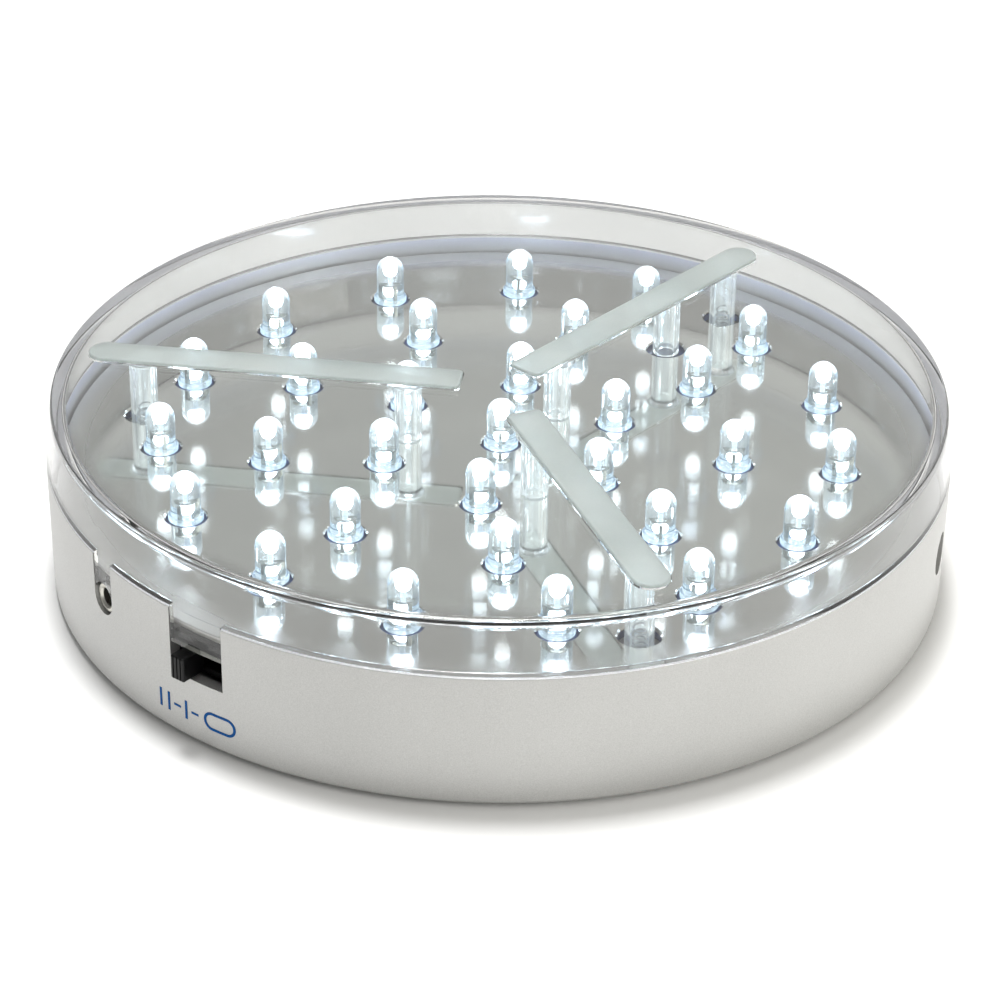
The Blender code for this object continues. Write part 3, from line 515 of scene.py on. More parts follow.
wall = {"bottomRadius": 76.3, "seamRadius": 76.5, "rim": 23.2, "thickness": 2.0, "floor": 2.0,
        "bottomRound": 0.8, "rimRound": 0.25, "sides": 240,
        "ledges": 6, "ledgeStart": 10, "ledgeReach": 1.2, "ledgeHalf": 0.8}
bay = {"halfX": 28.7, "halfY": 23.1, "wall": 1.4, "roof": 17.0, "tongueX": 16.0, "tongueWidth": 8.0,
       "tailHeight": 12.6, "pitch": 15.1}
posts = {"radius": 2.33, "bore": 1.5, "boreTop": 30.2, "pillar": 4.8, "pillarTop": 18.1, "pillarBore": 1.6,
         "counterbore": 3.0, "counterboreTop": 8.3, "fillet": 0.9,
         "outer": ((62.9, 50.0), (61.7, 172.1), (62.3, -69.3)),
         "inner": ((14.3, 46.0), (15.6, 174.0), (18.0, -70.5)), "middle": (46.2, 50.0)}
# direction, start and end of each grip strip
ribs = ((49.2, 6.0, 69.0), (172.0, 6.6, 71.0), (-69.3, 11.2, 69.5))
switch = {"direction": -127.9, "width": 10.9, "bottom": 11.5, "tabBottom": 16.9, "face": 73.4, "depth": 5.6,
          "bodyWidth": 12.6, "bodyLow": 11.3, "bodyHigh": 17.8, "pitch": 2.0,
          "pins": 4, "pinPitch": 2.5, "pinHalf": 0.3, "pinTip": 18.1}
leftJack = {"direction": -145.6, "height": 16.0, "hole": 2.8, "half": 3.0, "depth": 11.0, "throat": 9.0,
            "bore": 1.8, "pin": 0, "nose": 2.5, "reach": 2.7}
rightJack = {"direction": -15.3, "height": 12.7, "hole": 3.7, "half": 4.5, "depth": 12.0, "throat": 9.5,
             "bore": 3.15, "pin": 1.0, "nose": 0, "reach": 0}
jackFace = 73.2
innerRadius = wall["bottomRadius"] - wall["thickness"]


def postPlace(post):
    radius, degrees = post
    return heading(degrees) * radius


def outerPosts():
    return [postPlace(post) for post in posts["outer"]]


def makeHousing(material):
    bm = bmesh.new()
    size = wall
    profile = [(0, 0)] + bend((size["bottomRadius"] - size["bottomRound"], size["bottomRound"]),
                              size["bottomRound"], -90, 0, 6)
    profile += bend((size["seamRadius"] - size["rimRound"], size["rim"] - size["rimRound"]), size["rimRound"],
                    0, 90, 4)
    profile += [(size["seamRadius"] - size["thickness"], size["rim"]), (innerRadius, size["floor"]),
                (0, size["floor"])]
    spin(bm, profile, size["sides"])
    housing = draw("housingShell", bm, material)

    bm = bmesh.new()
    low = size["floor"] - 0.5
    for post in outerPosts():
        spin(bm, [(0, low), (posts["pillar"], low), (posts["pillar"], posts["pillarTop"] - 0.3),
                  (posts["pillar"] - 0.3, posts["pillarTop"]), (0, posts["pillarTop"])], 40,
             Matrix.Translation(post))
    rest = plate["top"] - plate["thickness"] - 0.3
    for step in range(size["ledges"]):
        turn = alongRib(size["ledgeStart"] + 360 / size["ledges"] * step)
        box(bm, (innerRadius - size["ledgeReach"], -size["ledgeHalf"], low),
            (innerRadius + 1.0, size["ledgeHalf"], rest), turn)
    reachX, reachY = bay["halfX"] + bay["wall"], bay["halfY"] + bay["wall"]
    box(bm, (-reachX, -reachY, low), (reachX, reachY, bay["roof"] + 1.1))
    combine(housing, draw("fittings", bm), "UNION")

    bm = bmesh.new()
    box(bm, (-bay["halfX"], -bay["halfY"], -1), (bay["halfX"], bay["halfY"], bay["roof"]))
    for post in outerPosts():
        spin(bm, [(0, -1), (posts["counterbore"], -1), (posts["counterbore"], posts["counterboreTop"]),
                  (posts["pillarBore"], posts["counterboreTop"]), (posts["pillarBore"], 25), (0, 25)], 32,
             Matrix.Translation(post))
    for x, y in centres(*feetNodes):
        pocket = foot["radius"] + foot["pocketGap"]
        spin(bm, [(0, -1), (pocket, -1), (pocket, 0.8), (0, 0.8)], 48, Matrix.Translation((x, y, 0)))
    half = switch["width"] / 2
    above = size["rim"] + 1
    inside, outside = innerRadius - 1, size["seamRadius"] + 1
    prism(bm, ((-half, switch["bottom"]), (half, switch["bottom"]), (half, above), (-half, above)), inside,
          outside, throughWall(switch["direction"]))
    hole = leftJack["hole"]
    prism(bm, bend((0, leftJack["height"]), hole, -180, 0, 24) + [(hole, above), (-hole, above)], inside,
          outside, throughWall(leftJack["direction"]))
    prism(bm, bend((0, rightJack["height"]), rightJack["hole"], 0, 352.5, 47), inside, outside,
          throughWall(rightJack["direction"]))
    combine(housing, draw("openings", bm), "DIFFERENCE")

    bm = bmesh.new()
    for side in (-1, 1):
        middle, reach = side * bay["tongueX"], bay["tongueWidth"] / 2 + 0.4
        box(bm, (middle - reach, -bay["halfY"] - 3, 2.0), (middle + reach, -bay["halfY"] + 1, 4.4))
    for side, row in ((1, -1), (-1, 1)):
        low, high = sorted((side * (bay["halfX"] - 1), side * (bay["halfX"] + 3)))
        middle = row * bay["pitch"]
        box(bm, (low, middle - 1.7, bay["tailHeight"] - 0.4), (high, middle + 1.7, bay["tailHeight"] + 0.8))
    combine(housing, draw("slots", bm), "DIFFERENCE")
    return settle(housing, "stand", ["housing"])


lid = {"topRadius": 75.45, "top": 32.85, "disc": 1.8, "seam": 23.4, "innerSeam": 74.4, "innerTop": 73.5,
       "edge": 0.5, "innerEdge": 0.8, "seamRound": 0.25, "sides": 240}
strip = {"width": 6.2, "thickness": 1.0, "channel": 0.8, "gap": 0.15, "round": 0.3}


def stadium(start, end, width, steps=16):
    half = width / 2
    corner = 0.9
    square = bend((start + corner, -half + corner), corner, -90, -180, 4)
    square += bend((start + corner, half - corner), corner, 180, 90, 4)
    return bend((end - half, 0), half, 90, -90, steps) + square


def makeLid(material):
    size = lid
    under = size["top"] - size["disc"]
    bm = bmesh.new()
    profile = [(0, size["top"])] + bend((size["topRadius"] - size["edge"], size["top"] - size["edge"]),
                                        size["edge"], 90, 5, 6)
    profile += bend((wall["seamRadius"] - size["seamRound"], size["seam"] + size["seamRound"]),
                    size["seamRound"], 0, -90, 4)
    profile += bend((size["innerSeam"] + 0.2, size["seam"] + 0.2), 0.2, -90, -180, 3)
    profile += bend((size["innerTop"] - size["innerEdge"], under - size["innerEdge"]), size["innerEdge"], 0,
                    90, 8) + [(0, under)]
    spin(bm, profile, size["sides"])
    cover = draw("clearLid", bm, material)

    bm = bmesh.new()
    ends = [(post, plate["boardTop"] - plate["boardThickness"]) for post in outerPosts()]
    ends += [(postPlace(post), plate["top"] + 0.3) for post in posts["inner"]]
    ends.append((postPlace(posts["middle"]), plate["boardTop"] + 0.3))
    for post, foot in ends:
        fillet = posts["fillet"]
        flare = bend((posts["radius"] + fillet, under - fillet), fillet, 180, 90, 4)
        spin(bm, [(0, posts["boreTop"]), (posts["bore"], posts["boreTop"]), (posts["bore"], foot),
                  (posts["radius"], foot)] + flare
             + [(posts["radius"] + fillet, under + 0.4), (0, under + 0.4)], 36, Matrix.Translation(post))
    combine(cover, draw("lidPosts", bm), "UNION")

    bm = bmesh.new()
    above = wall["rim"] + 1.0
    tab = switch["width"] / 2 - 0.15
    prism(bm, ((-tab, switch["tabBottom"]), (tab, switch["tabBottom"]), (tab, above), (-tab, above)), 60, 90,
          throughWall(switch["direction"]))
    half = leftJack["hole"] - 0.2
    reach = math.degrees(math.asin(half / leftJack["hole"]))
    mouth = bend((0, leftJack["height"]), leftJack["hole"], 90 - reach, 90 + reach, 16)
    prism(bm, mouth + [(-half, above), (half, above)], 60, 90, throughWall(leftJack["direction"]))
    tabs = draw("tabs", bm)
    bm = bmesh.new()
    band = [(innerRadius + 0.1, 12), (wall["seamRadius"] - 0.15, 12), (wall["seamRadius"] - 0.15, 24),
            (innerRadius + 0.1, 24)]
    spin(bm, band, size["sides"], ring=True)
    combine(tabs, draw("wallBand", bm), "INTERSECT")
    combine(cover, tabs, "UNION")

    bm = bmesh.new()
    for rib in ribs:
        outline = stadium(rib[1] - strip["gap"], rib[2] + strip["gap"], strip["width"] + 2 * strip["gap"])
        prism(bm, outline, size["top"] - strip["channel"], size["top"] + 1, alongRib(rib[0]))
    combine(cover, draw("channels", bm), "DIFFERENCE")
    return settle(cover, "stand", ["clear_lid"], 30)


def makeStrips(material):
    low = lid["top"] - strip["channel"] + 0.05
    top = lid["top"] - strip["channel"] + 0.3 + strip["thickness"]
    for number, rib in enumerate(ribs, 1):
        bm = bmesh.new()
        prism(bm, stadium(rib[1], rib[2], strip["width"]), low, top, alongRib(rib[0]))
        piece = rounded(draw(f"gripStrip{number}", bm, material), strip["round"], 3, 50)
        settle(piece, "stand", [f"grip_strip_{number}"])


plate = {"radius": 73.9, "top": 20.4, "thickness": 0.5, "hole": 3.65, "edge": 0.3, "sides": 240,
         "boardTop": 19.6, "boardThickness": 1.2, "boardRadius": 72.8}


def makePlate(material, group):
    bm = bmesh.new()
    spin(bm, [(0, plate["top"] - plate["thickness"]), (plate["radius"], plate["top"] - plate["thickness"]),
              (plate["radius"], plate["top"] - 0.1), (plate["radius"] - 0.1, plate["top"]),
              (0, plate["top"])], plate["sides"])
    sheet = draw("sheet", bm)
    bm = bmesh.new()
    hole, top, edge = plate["hole"], plate["top"], plate["edge"]
    spin(bm, [(0, top - 3), (hole - edge, top - 3), (hole - edge, top - edge), (hole + 0.1, top + 0.1),
              (0, top + 0.1)], 40)
    cutter = draw("cutter", bm)
    through = outerPosts() + [postPlace(posts["middle"])]
    places = centres(*lampNodes) + [tuple(post)[:2] for post in through]
    piece = runGroup("mirrorPlate", group, places, {"Sheet": sheet, "Cutter": cutter, "Material": material})
    for tool in (sheet, cutter):
        bpy.data.objects.remove(tool)
    return settle(piece, "stand", ["reflector_plate"])


lamp = {"base": 20.1, "height": 8.6, "radius": 2.5, "flange": 2.95, "flangeHeight": 1.0, "leadSpread": 1.27,
        "seed": 7, "sides": 32,
        "stepPitch": 0.32, "stepSlope": 0.364, "columnLow": 1.2, "columnHigh": 7.6,
        "cupTop": 3.0, "neckTop": 5.2, "neck": 0.32, "stepRoot": 0.2, "lead": 0.25, "leadLow": 19.9}
lampNodes = [f"led_{number:02d}" for number in range(1, 32)]


def makeLamps(epoxy, glow, metal, group):
    size = lamp
    shoulder = size["height"] - size["radius"]
    bm = bmesh.new()
    profile = [(0, 0), (size["flange"] - 0.1, 0), (size["flange"], 0.1),
               (size["flange"], size["flangeHeight"] - 0.15)]
    profile += [(size["flange"] - 0.15, size["flangeHeight"]), (size["radius"] + 0.1, size["flangeHeight"]),
                (size["radius"], size["flangeHeight"] + 0.1)]
    profile += bend((0, shoulder), size["radius"], 0, 80, 9) + [(0, size["height"])]
    spin(bm, profile, size["sides"])
    body = draw("lampBody", bm)

    # the lit column: a cup, a thin neck and a spindle, cut into steps that slope gently to the outside
    bm = bmesh.new()
    profile, low = [(0, size["columnLow"] - 0.1)], size["columnLow"]
    root = size["stepRoot"]
    while low < size["columnHigh"]:
        if low < size["cupTop"]:
            wide = 0.2 + 0.7 * math.sqrt(max(0, 1 - ((low - 2.0) / 1.0) ** 2))
        elif low < size["neckTop"]:
            wide = size["neck"]
        else:
            wide = 0.25 + 0.75 * math.sqrt(max(0, 1 - ((low - 6.5) / 1.35) ** 2))
        profile += [(wide, low), (root, low + (wide - root) * size["stepSlope"])]
        low += size["stepPitch"]
    profile += [(0, profile[-1][1] + 0.05)]
    spin(bm, profile, 16)
    core = draw("lampCoreShape", bm)

    bm = bmesh.new()
    for side in (-1, 1):
        middle, wire = side * size["leadSpread"], size["lead"]
        box(bm, (middle - wire, -wire, size["leadLow"] - size["base"]),
            (middle + wire, wire, 3.0 if side > 0 else 3.4))
    spin(bm, [(0.70, 3.3), (1.25, 3.3), (1.25, 3.45), (0.70, 3.45)], 20, ring=True)
    leads = draw("lampLeadShape", bm)

    places = [(x, y, size["base"]) for x, y in centres(*lampNodes)]
    for name, part, material, slot, replaced in (("lampBodies", body, epoxy, "lamp_epoxy", lampNodes),
                                                ("lampCores", core, glow, "lamp_epoxy", None),
                                                ("lampLeads", leads, metal, "contact_nickel", None)):
        piece = runGroup(name, group, places,
                         {"Part": part, "Turn": math.tau, "Seed": size["seed"], "Material": material})
        settle(piece, "stand", replaced, 50)
        bpy.data.objects.remove(part)


screw = {"seat": 8.0, "tip": 25.5, "shank": 1.0, "head": 2.5, "headHeight": 1.8, "point": 2.6, "pitch": 1.1,
         "cross": 0.5}


def makeScrews(material, group):
    size = screw
    length = size["tip"] - size["seat"]
    bm = bmesh.new()
    profile = [(0, -size["headHeight"])] + bend((0, 1.1), 2.9, -75, -31, 6) + [(size["head"], -0.15),
                                                                               (size["head"] - 0.1, 0)]
    profile += [(size["shank"], 0), (size["shank"], length - size["point"]), (0, length)]
    spin(bm, profile, 32)
    blank = draw("blank", bm)
    bm = bmesh.new()
    for turn in (0, 90):
        place = Matrix.Rotation(math.radians(turn), 4, "Z")
        box(bm, (-1.35, -size["cross"] / 2, -3), (1.35, size["cross"] / 2, -1.0), place)
    combine(blank, draw("cross", bm), "DIFFERENCE")
    values = {"Blank": blank, "Turns": (length - size["point"] - 4) / size["pitch"],
              "Thread radius": size["shank"], "Thread start": 3.0, "Thread depth": 0.2,
              "Thread length": length - size["point"] - 3.4, "Material": material}
    piece = runGroup("lidScrews", group, [(post.x, post.y, size["seat"]) for post in outerPosts()], values)
    bpy.data.objects.remove(blank)
    return settle(piece, "stand", ["lid_screw_1", "lid_screw_2", "lid_screw_3"])


knob = {"width": 2.8, "height": 4.3, "centre": 14.1, "face": 78.5, "stemWidth": 1.8, "stemHeight": 2.6,
        "slotDepth": 3.2, "round": 0.3,
        "groovePitch": 0.75, "grooveHalf": 0.12, "grooveDepth": 0.2}


def switchPlace():
    out = heading(switch["direction"])
    return Matrix((Vector((-out.y, out.x, 0)), out, Vector((0, 0, 1)))).transposed().to_4x4()


def makeSwitch(bodyPlastic, knobPlastic):
    half, back, place = switch["bodyWidth"] / 2, switch["face"] - switch["depth"], switchPlace()
    bm = bmesh.new()
    box(bm, (-half, back, switch["bodyLow"]), (half, switch["face"], switch["bodyHigh"]), place)
    body = rounded(draw("switchBody", bm, bodyPlastic), 0.3, 2)
    bm = bmesh.new()
    slot, lift = switch["pitch"] + knob["stemWidth"] / 2 + 0.4, knob["stemHeight"] / 2 + 0.3
    box(bm, (-slot, switch["face"] - knob["slotDepth"], knob["centre"] - lift),
        (slot, switch["face"] + 1, knob["centre"] + lift), place)
    combine(body, draw("switchSlot", bm), "DIFFERENCE")
    bm = bmesh.new()
    pin = switch["pinHalf"]
    for step in range(switch["pins"]):
        middle = (step - (switch["pins"] - 1) / 2) * switch["pinPitch"]
        box(bm, (middle - pin, back + 1.0, switch["bodyHigh"] - 0.5),
            (middle + pin, back + 1.5, switch["pinTip"]), place)
    combine(body, draw("switchPins", bm), "UNION")
    settle(body, "stand", ["switch_body"])

    bm = bmesh.new()
    half, tall, middle = knob["width"] / 2, knob["height"] / 2, -switch["pitch"]
    box(bm, (middle - half, switch["face"] + 0.35, knob["centre"] - tall),
        (middle + half, knob["face"], knob["centre"] + tall), place)
    cap = rounded(draw("switchKnob", bm, knobPlastic), knob["round"], 3)
    bm = bmesh.new()
    for step in (-1, 0, 1):
        groove, thin = middle + step * knob["groovePitch"], knob["grooveHalf"]
        box(bm, (groove - thin, knob["face"] - knob["grooveDepth"], knob["centre"] - tall - 1),
            (groove + thin, knob["face"] + 1, knob["centre"] + tall + 1), place)
    combine(cap, draw("grooves", bm), "DIFFERENCE")
    bm = bmesh.new()
    stem, lift = knob["stemWidth"] / 2, knob["stemHeight"] / 2
    box(bm, (middle - stem, switch["face"] - knob["slotDepth"] + 0.6, knob["centre"] - lift),
        (middle + stem, switch["face"] + 0.85, knob["centre"] + lift), place)
    combine(cap, draw("stem", bm), "UNION")
    settle(cap, "switch_knob", ["switch_knob"])


# two bars, one bar and a pill shape, printed under the switch, with dashes between
marks = {"direction": -128.15, "middle": 5.2, "tall": 3.4, "bar": 0.5, "thickness": 0.04,
         "bars": (-7.9, -6.0, -2.1), "dashes": (-4.05, -0.2), "dashLong": 0.75, "dashHigh": 0.2,
         "pill": (1.7, 8.1)}


def onWall(bm, outline, hole=None):
    def spot(along, up, lift):
        height = marks["middle"] + up
        flare = wall["seamRadius"] - wall["bottomRadius"]
        radius = wall["bottomRadius"] + flare * height / wall["rim"] + lift
        return heading(marks["direction"] + math.degrees(along / radius)) * radius + Vector((0, 0, height))
    lifts = (-0.01, marks["thickness"])
    outer = [[bm.verts.new(spot(x, y, lift)) for x, y in outline] for lift in lifts]
    count = len(outline)
    inner = [[bm.verts.new(spot(x, y, lift)) for x, y in hole] for lift in lifts] if hole else None
    for step in range(count):
        after = (step + 1) % count
        bm.faces.new((outer[0][step], outer[0][after], outer[1][after], outer[1][step]))
        if inner:
            bm.faces.new((inner[0][step], inner[0][after], inner[1][after], inner[1][step]))
            for level in (0, 1):
                bm.faces.new((outer[level][step], outer[level][after], inner[level][after],
                              inner[level][step]))
    if not inner:
        bm.faces.new(outer[0])
        bm.faces.new(outer[1])


def makeMarks(material):
    bm = bmesh.new()
    tall, bar = marks["tall"] / 2, marks["bar"] / 2
    for along in marks["bars"]:
        onWall(bm, ((along - bar, -tall), (along + bar, -tall), (along + bar, tall), (along - bar, tall)))
    long, high = marks["dashLong"], marks["dashHigh"]
    for along in marks["dashes"]:
        onWall(bm, ((along - long, -high), (along + long, -high), (along + long, high), (along - long, high)))
    start, end = marks["pill"]

    def pill(inset):
        radius = tall - inset
        return bend((end - tall, 0), radius, -90, 90, 16) + bend((start + tall, 0), radius, 90, 270, 16)

    onWall(bm, pill(0), pill(marks["bar"]))
    return settle(draw("switchMarks", bm, material), "stand", None)


def makeJack(name, node, size, plastic, metal):
    place = throughWall(size["direction"])
    bored = throughWall(size["direction"], size["height"]) @ Matrix.Translation((0, 0, jackFace))
    back, half, height = jackFace - size["depth"], size["half"], size["height"]
    top = min(height + half, posts["pillarTop"])
    bm = bmesh.new()
    prism(bm, ((-half, height - half), (half, height - half), (half, top), (-half, top)), back, jackFace,
          place)
    body = rounded(draw(name, bm, plastic), 0.25, 3)
    bm = bmesh.new()
    bore, throat, reach = size["bore"], size["throat"], size["reach"]
    spin(bm, [(0, -throat), (bore, -throat), (bore, -0.2), (bore + 0.5, 0.3), (0, 0.3)], 40, bored)
    combine(body, draw("bore", bm), "DIFFERENCE")
    settle(body, "stand", [node])
    bm = bmesh.new()
    inner = bore - 0.25
    barrel = [(inner, 0.5 - throat), (bore - 0.02, 0.5 - throat), (bore - 0.02, -0.25)]
    if size["nose"]:
        nose = size["nose"]
        barrel += [(bore + 0.3, 0.15), (nose, 0.15), (nose, reach - 0.15), (nose - 0.15, reach),
                   (bore + 0.1, reach)]
        barrel += [(inner, reach - 0.35)]
    else:
        barrel += [(bore + 0.4, 0.15), (bore + 0.75, 0.2), (bore + 0.75, 0.5), (bore + 0.3, 0.6),
                   (inner, 0.1)]
    spin(bm, barrel, 40, bored, ring=True)
    if size["pin"]:
        pin = size["pin"]
        spin(bm, [(0, -throat), (pin, -throat), (pin, -1.1), (pin - 0.3, -0.8), (0, -0.7)], 24, bored)
    settle(draw(f"{name}Barrel", bm, metal), "stand", None)


door = {"thickness": 1.8, "grip": 9, "gripPitch": 1.6, "gripWidth": 22.0, "round": 0.35}
feetNodes = [f"foot_{number}" for number in range(1, 5)]
foot = {"radius": 5.0, "height": 1.3, "round": 0.35, "pocketGap": 0.4}


def makeDoor(material):
    halfX, near, far = bay["halfX"] - 0.4, 0.4 - bay["halfY"], bay["halfY"] - 0.4
    bm = bmesh.new()
    box(bm, (-halfX, near, 0), (halfX, far, door["thickness"]))
    leaf = rounded(draw("batteryDoor", bm, material), door["round"], 3)
    bm = bmesh.new()
    for step in range(door["grip"]):
        middle = far - 4 - step * door["gripPitch"]
        reach = door["gripWidth"] / 2 * (1 - 0.08 * step)
        box(bm, (-reach, middle - 0.4, -1), (reach, middle + 0.4, 0.45))
    combine(leaf, draw("gripGrooves", bm), "DIFFERENCE")
    bm = bmesh.new()
    sideways = Matrix(((0, 0, 1, 0), (1, 0, 0, 0), (0, 1, 0, 0), (0, 0, 0, 1)))
    for side in (-1, 1):
        middle, reach = side * bay["tongueX"], bay["tongueWidth"] / 2
        low, high, root = 2.3, 3.3, door["thickness"] - 0.4
        outline = ((near, root), (near + 1.4, root), (near + 1.4, high), (near - 1.8, high),
                   (near - 1.8, low), (near, low))
        prism(bm, outline, middle - reach, middle + reach, sideways)
    prism(bm, ((far - 1.3, 1.4), (far - 0.5, 1.4), (far - 0.5, 5.0), (far - 1.3, 5.0)), -5, 5, sideways)
    combine(leaf, draw("tongues", bm), "UNION")
    return settle(leaf, "battery_door", ["battery_door"])


cell = {"radius": 7.1, "length": 50.5, "nub": 1.2, "nubRadius": 2.7, "bottom": 2.4, "end": 27.7}


def makeCells(jacket, metal):
    half = cell["length"] / 2
    shift = cell["end"] - half
    jackets, caps = bmesh.new(), bmesh.new()
    for row, way in ((-1, 1), (0, -1), (1, 1)):
        place = Matrix.Translation((way * shift, row * bay["pitch"], cell["bottom"] + cell["radius"]))
        place = place @ Matrix.Rotation(math.radians(90 * way), 4, "Y")
        radius = cell["radius"]
        spin(jackets, [(0, -half + 0.3), (radius - 1.0, -half + 0.3), (radius - 0.5, -half + 0.05),
                       (radius, -half + 0.6),
                       (radius, half - cell["nub"] - 0.7), (radius - 0.6, half - cell["nub"] - 0.1),
                       (radius - 1.1, half - cell["nub"] - 0.25),
                       (0, half - cell["nub"] - 0.25)], 48, place)
        nub = cell["nubRadius"]
        spin(caps, [(0, half - cell["nub"] - 0.4), (radius - 1.6, half - cell["nub"] - 0.4),
                    (radius - 1.6, half - cell["nub"] - 0.15),
                    (nub + 0.2, half - cell["nub"]), (nub, half - cell["nub"] + 0.2), (nub, half - 0.25),
                    (nub - 0.3, half), (0, half)], 32, place)
        spin(caps, [(0, -half), (radius - 1.4, -half), (radius - 1.2, -half + 0.35), (0, -half + 0.35)], 32,
             place)
    settle(draw("cellJackets", jackets, jacket), "stand",
           ["aa_cell_1", "aa_cell_2", "aa_cell_3"])
    settle(draw("cellCaps", caps, metal), "stand", None)


def makeFeet(material, group):
    bm = bmesh.new()
    radius, height = foot["radius"], foot["height"]
    profile = [(0, 0.1), (1.2, 0.1), (1.3, 0), (2.2, 0), (2.3, 0.1), (3.0, 0.1), (3.1, 0)]
    profile += bend((radius - foot["round"], foot["round"]), foot["round"], -90, 0, 4) + [(radius, height),
                                                                                          (0, height)]
    spin(bm, profile, 48)
    pad = draw("pad", bm)
    piece = runGroup("feet", group, [(x, y, -footProud) for x, y in centres(*feetNodes)],
                     {"Part": pad, "Turn": 0.0, "Seed": 1, "Material": material})
    bpy.data.objects.remove(pad)
    return settle(piece, "stand", feetNodes)


copies, perforated, screws = copiesGroup(), perforatedGroup(), screwGroup()
silver = silverPaint()
nickel = bareMetal("contactNickel", (176, 174, 166), (204, 202, 194), 0.18, 0.32, 180)
blackMoulded = mouldedPlastic("blackMoulded", (8, 8, 9), (16, 16, 17), 0.35, 0.5, 1400, shine=0.25)
makeHousing(silver)
makeLid(clearPlastic())
makeStrips(frostedRubber())
makePlate(mirrorFinish(), perforated)
makeLamps(lampEpoxy(), lampGlow(), nickel, copies)
makeScrews(bareMetal("screwSteel", (120, 120, 122), (172, 172, 174), 0.2, 0.36, 260), screws)
makeSwitch(blackMoulded, mouldedPlastic("knobBlack", (6, 6, 7), (13, 13, 14), 0.3, 0.42, 1600, shine=0.25))
makeMarks(markInk())
jackPlastic = mouldedPlastic("jackPlastic", (28, 28, 31), (46, 46, 49), 0.32, 0.45, 1300)
makeJack("leftJack", "left_jack", leftJack, jackPlastic, nickel)
makeJack("rightJack", "right_jack", rightJack, jackPlastic, nickel)
makeDoor(mouldedPlastic("doorSilver", (178, 178, 173), (196, 196, 191), 0.38, 0.5, 900))
makeCells(cellJacket(), nickel)
makeFeet(mouldedPlastic("footRubber", (196, 196, 193), (212, 212, 209), 0.6, 0.75, 1000, 0.00004), copies)

carried = {"led_board": boardMask(), "contact_plus": nickel, "contact_bridge_left": nickel,
           "contact_bridge_right": nickel, "contact_minus": nickel,
           "lead_red": mouldedPlastic("redSheath", (158, 32, 28), (184, 46, 38), 0.4, 0.5, 700),
           "lead_black": mouldedPlastic("blackSheath", (22, 22, 24), (36, 36, 38), 0.4, 0.5, 700)}
for node, material in carried.items():
    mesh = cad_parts[node].data
    mesh.materials.clear()
    mesh.materials.append(material)
print("carried nodes:", len(carried))


studio = {"floorDark": (244, 244, 243), "floorPale": (248, 248, 247), "floorReach": 5.0,
          "keyPlace": (-0.1, 0.3, 1.75), "keySize": 0.4, "keyPower": 30.5,
          "sidePlace": (1.5, -1.0, 0.8), "sideSize": 1.0, "sidePower": 9.0, "sky": 0.78,
          "skyStops": ((0.5, (0.95, 0.95, 0.95, 1)), (0.6, (0.9, 0.9, 0.9, 1)), (0.7, (0.74, 0.74, 0.722, 1)),
                       (0.84, (0.68, 0.68, 0.662, 1)), (1.0, (0.75, 0.75, 0.75, 1))),
          # the room is darker on the left and warmer on the right
          "sideStops": ((0.1, (0.38, 0.38, 0.39, 1)), (0.5, (0.95, 0.95, 0.95, 1)),
                        (0.9, (1.15, 1.13, 1.08, 1)))}


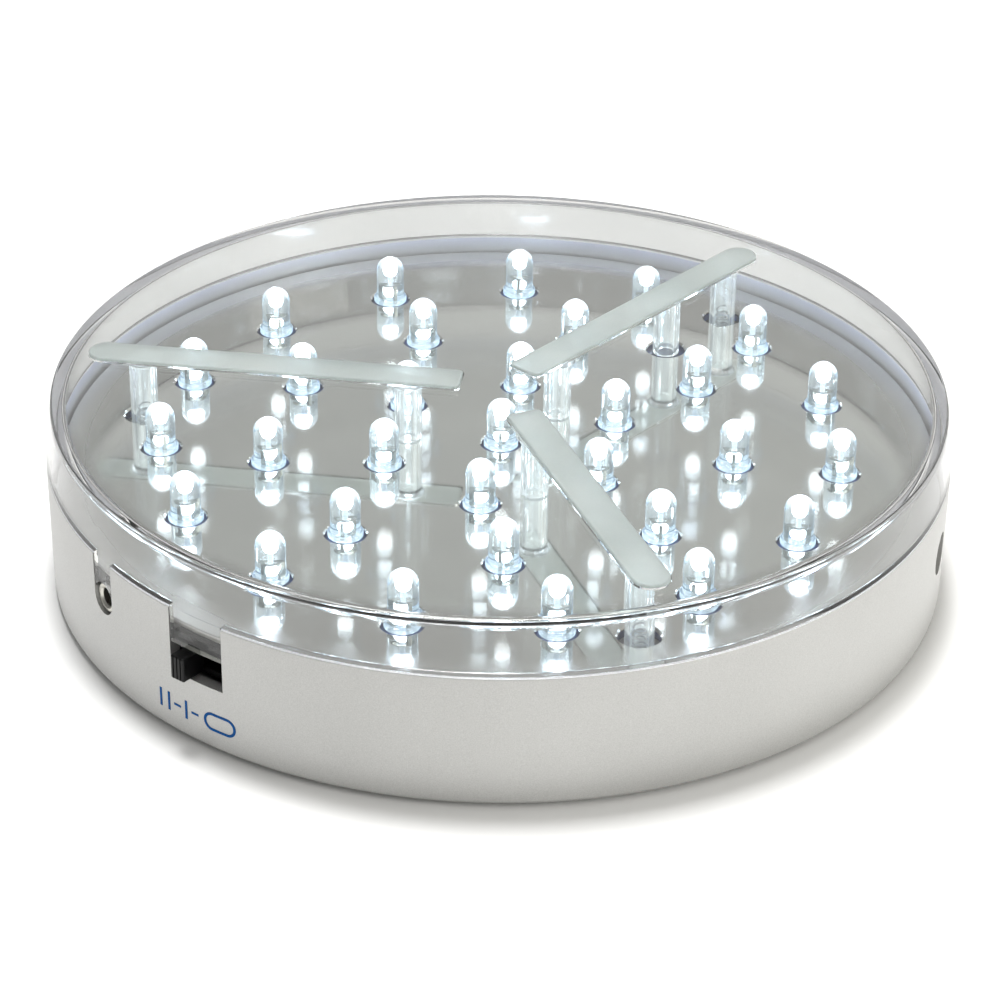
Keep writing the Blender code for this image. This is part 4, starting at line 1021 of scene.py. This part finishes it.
def makeStudio():
    bm = bmesh.new()
    reach = studio["floorReach"]
    box(bm, (-reach, -reach, -0.05), (reach, reach, 0))
    mesh = bpy.data.meshes.new("floor")
    bmesh.ops.recalc_face_normals(bm, faces=bm.faces)
    bm.to_mesh(mesh)
    bm.free()
    floor = bpy.data.objects.new("floor", mesh)
    bpy.context.scene.collection.objects.link(floor)
    made, graph, where, plug = newMaterial("paleFloor", {"Roughness": 0.9, "Specular IOR Level": 0.2})
    cloud = graph.noise(where, 3, 2.0)
    plug("Base Color", graph.ramp(cloud, (0.3, tone(*studio["floorDark"])),
                                  (0.7, tone(*studio["floorPale"]))))
    mesh.materials.append(made)

    def softbox(name, place, aim, size, power, colour):
        light = bpy.data.lights.new(name, "AREA")
        light.shape = "SQUARE"
        light.size = size
        light.energy = power
        light.color = colour
        lit = bpy.data.objects.new(name, light)
        lit.location = place
        lit.rotation_euler = (Vector(place) - Vector(aim)).to_track_quat("Z", "Y").to_euler()
        bpy.context.scene.collection.objects.link(lit)

    softbox("key", studio["keyPlace"], (0, 0, 0), studio["keySize"], studio["keyPower"], (1, 1, 1))
    softbox("rightSide", studio["sidePlace"], (0, 0, 0), studio["sideSize"], studio["sidePower"],
            (1, 0.98, 0.93))

    world = bpy.data.worlds.new("studio")
    world.use_nodes = True
    bpy.context.scene.world = world
    graph = Graph(world.node_tree)
    where = graph.add("ShaderNodeTexCoord", {}, {}, "Generated")
    up = graph.add("ShaderNodeSeparateXYZ", {}, [where], "Z")
    across = graph.add("ShaderNodeSeparateXYZ", {}, [where], "X")
    sky = graph.ramp(up * 0.5 + 0.5, *studio["skyStops"])
    sides = graph.ramp(across * 0.5 + 0.5, *studio["sideStops"])
    sky = graph.mix(1.0, sky, sides, "MULTIPLY")
    background = world.node_tree.nodes["Background"]
    world.node_tree.links.new(sky.socket, background.inputs["Color"])
    background.inputs["Strength"].default_value = studio["sky"]
    bpy.context.scene.view_settings.view_transform = "Standard"


view = {"lens": 122.53, "distance": 0.5908, "elevation": 30.95, "roll": 0.751, "tilt": 0.852, "pan": 0.042}


def makeCamera():
    camera = bpy.data.cameras.new("camera")
    camera.lens = view["lens"]
    camera.sensor_width = 36
    camera.clip_start = 0.01
    camera.clip_end = 50
    eye = bpy.data.objects.new("camera", camera)
    pitch = math.radians(view["elevation"])
    back = Vector((0, -math.cos(pitch), math.sin(pitch)))
    facing = Matrix((Vector((1, 0, 0)), Vector((0, math.sin(pitch), math.cos(pitch))),
                     back)).transposed().to_4x4()
    turn = Matrix.Rotation(math.radians(view["roll"]), 4, "Z") @ Matrix.Rotation(math.radians(view["tilt"]),
                                                                                 4, "X")
    turn = turn @ Matrix.Rotation(math.radians(-view["pan"]), 4, "Y")
    aim = Vector((0, 0, footProud / 1000))
    eye.matrix_world = Matrix.Translation(aim + back * view["distance"]) @ facing @ turn
    bpy.context.scene.collection.objects.link(eye)
    bpy.context.scene.camera = eye


makeStudio()
makeCamera()
print("studio ready")
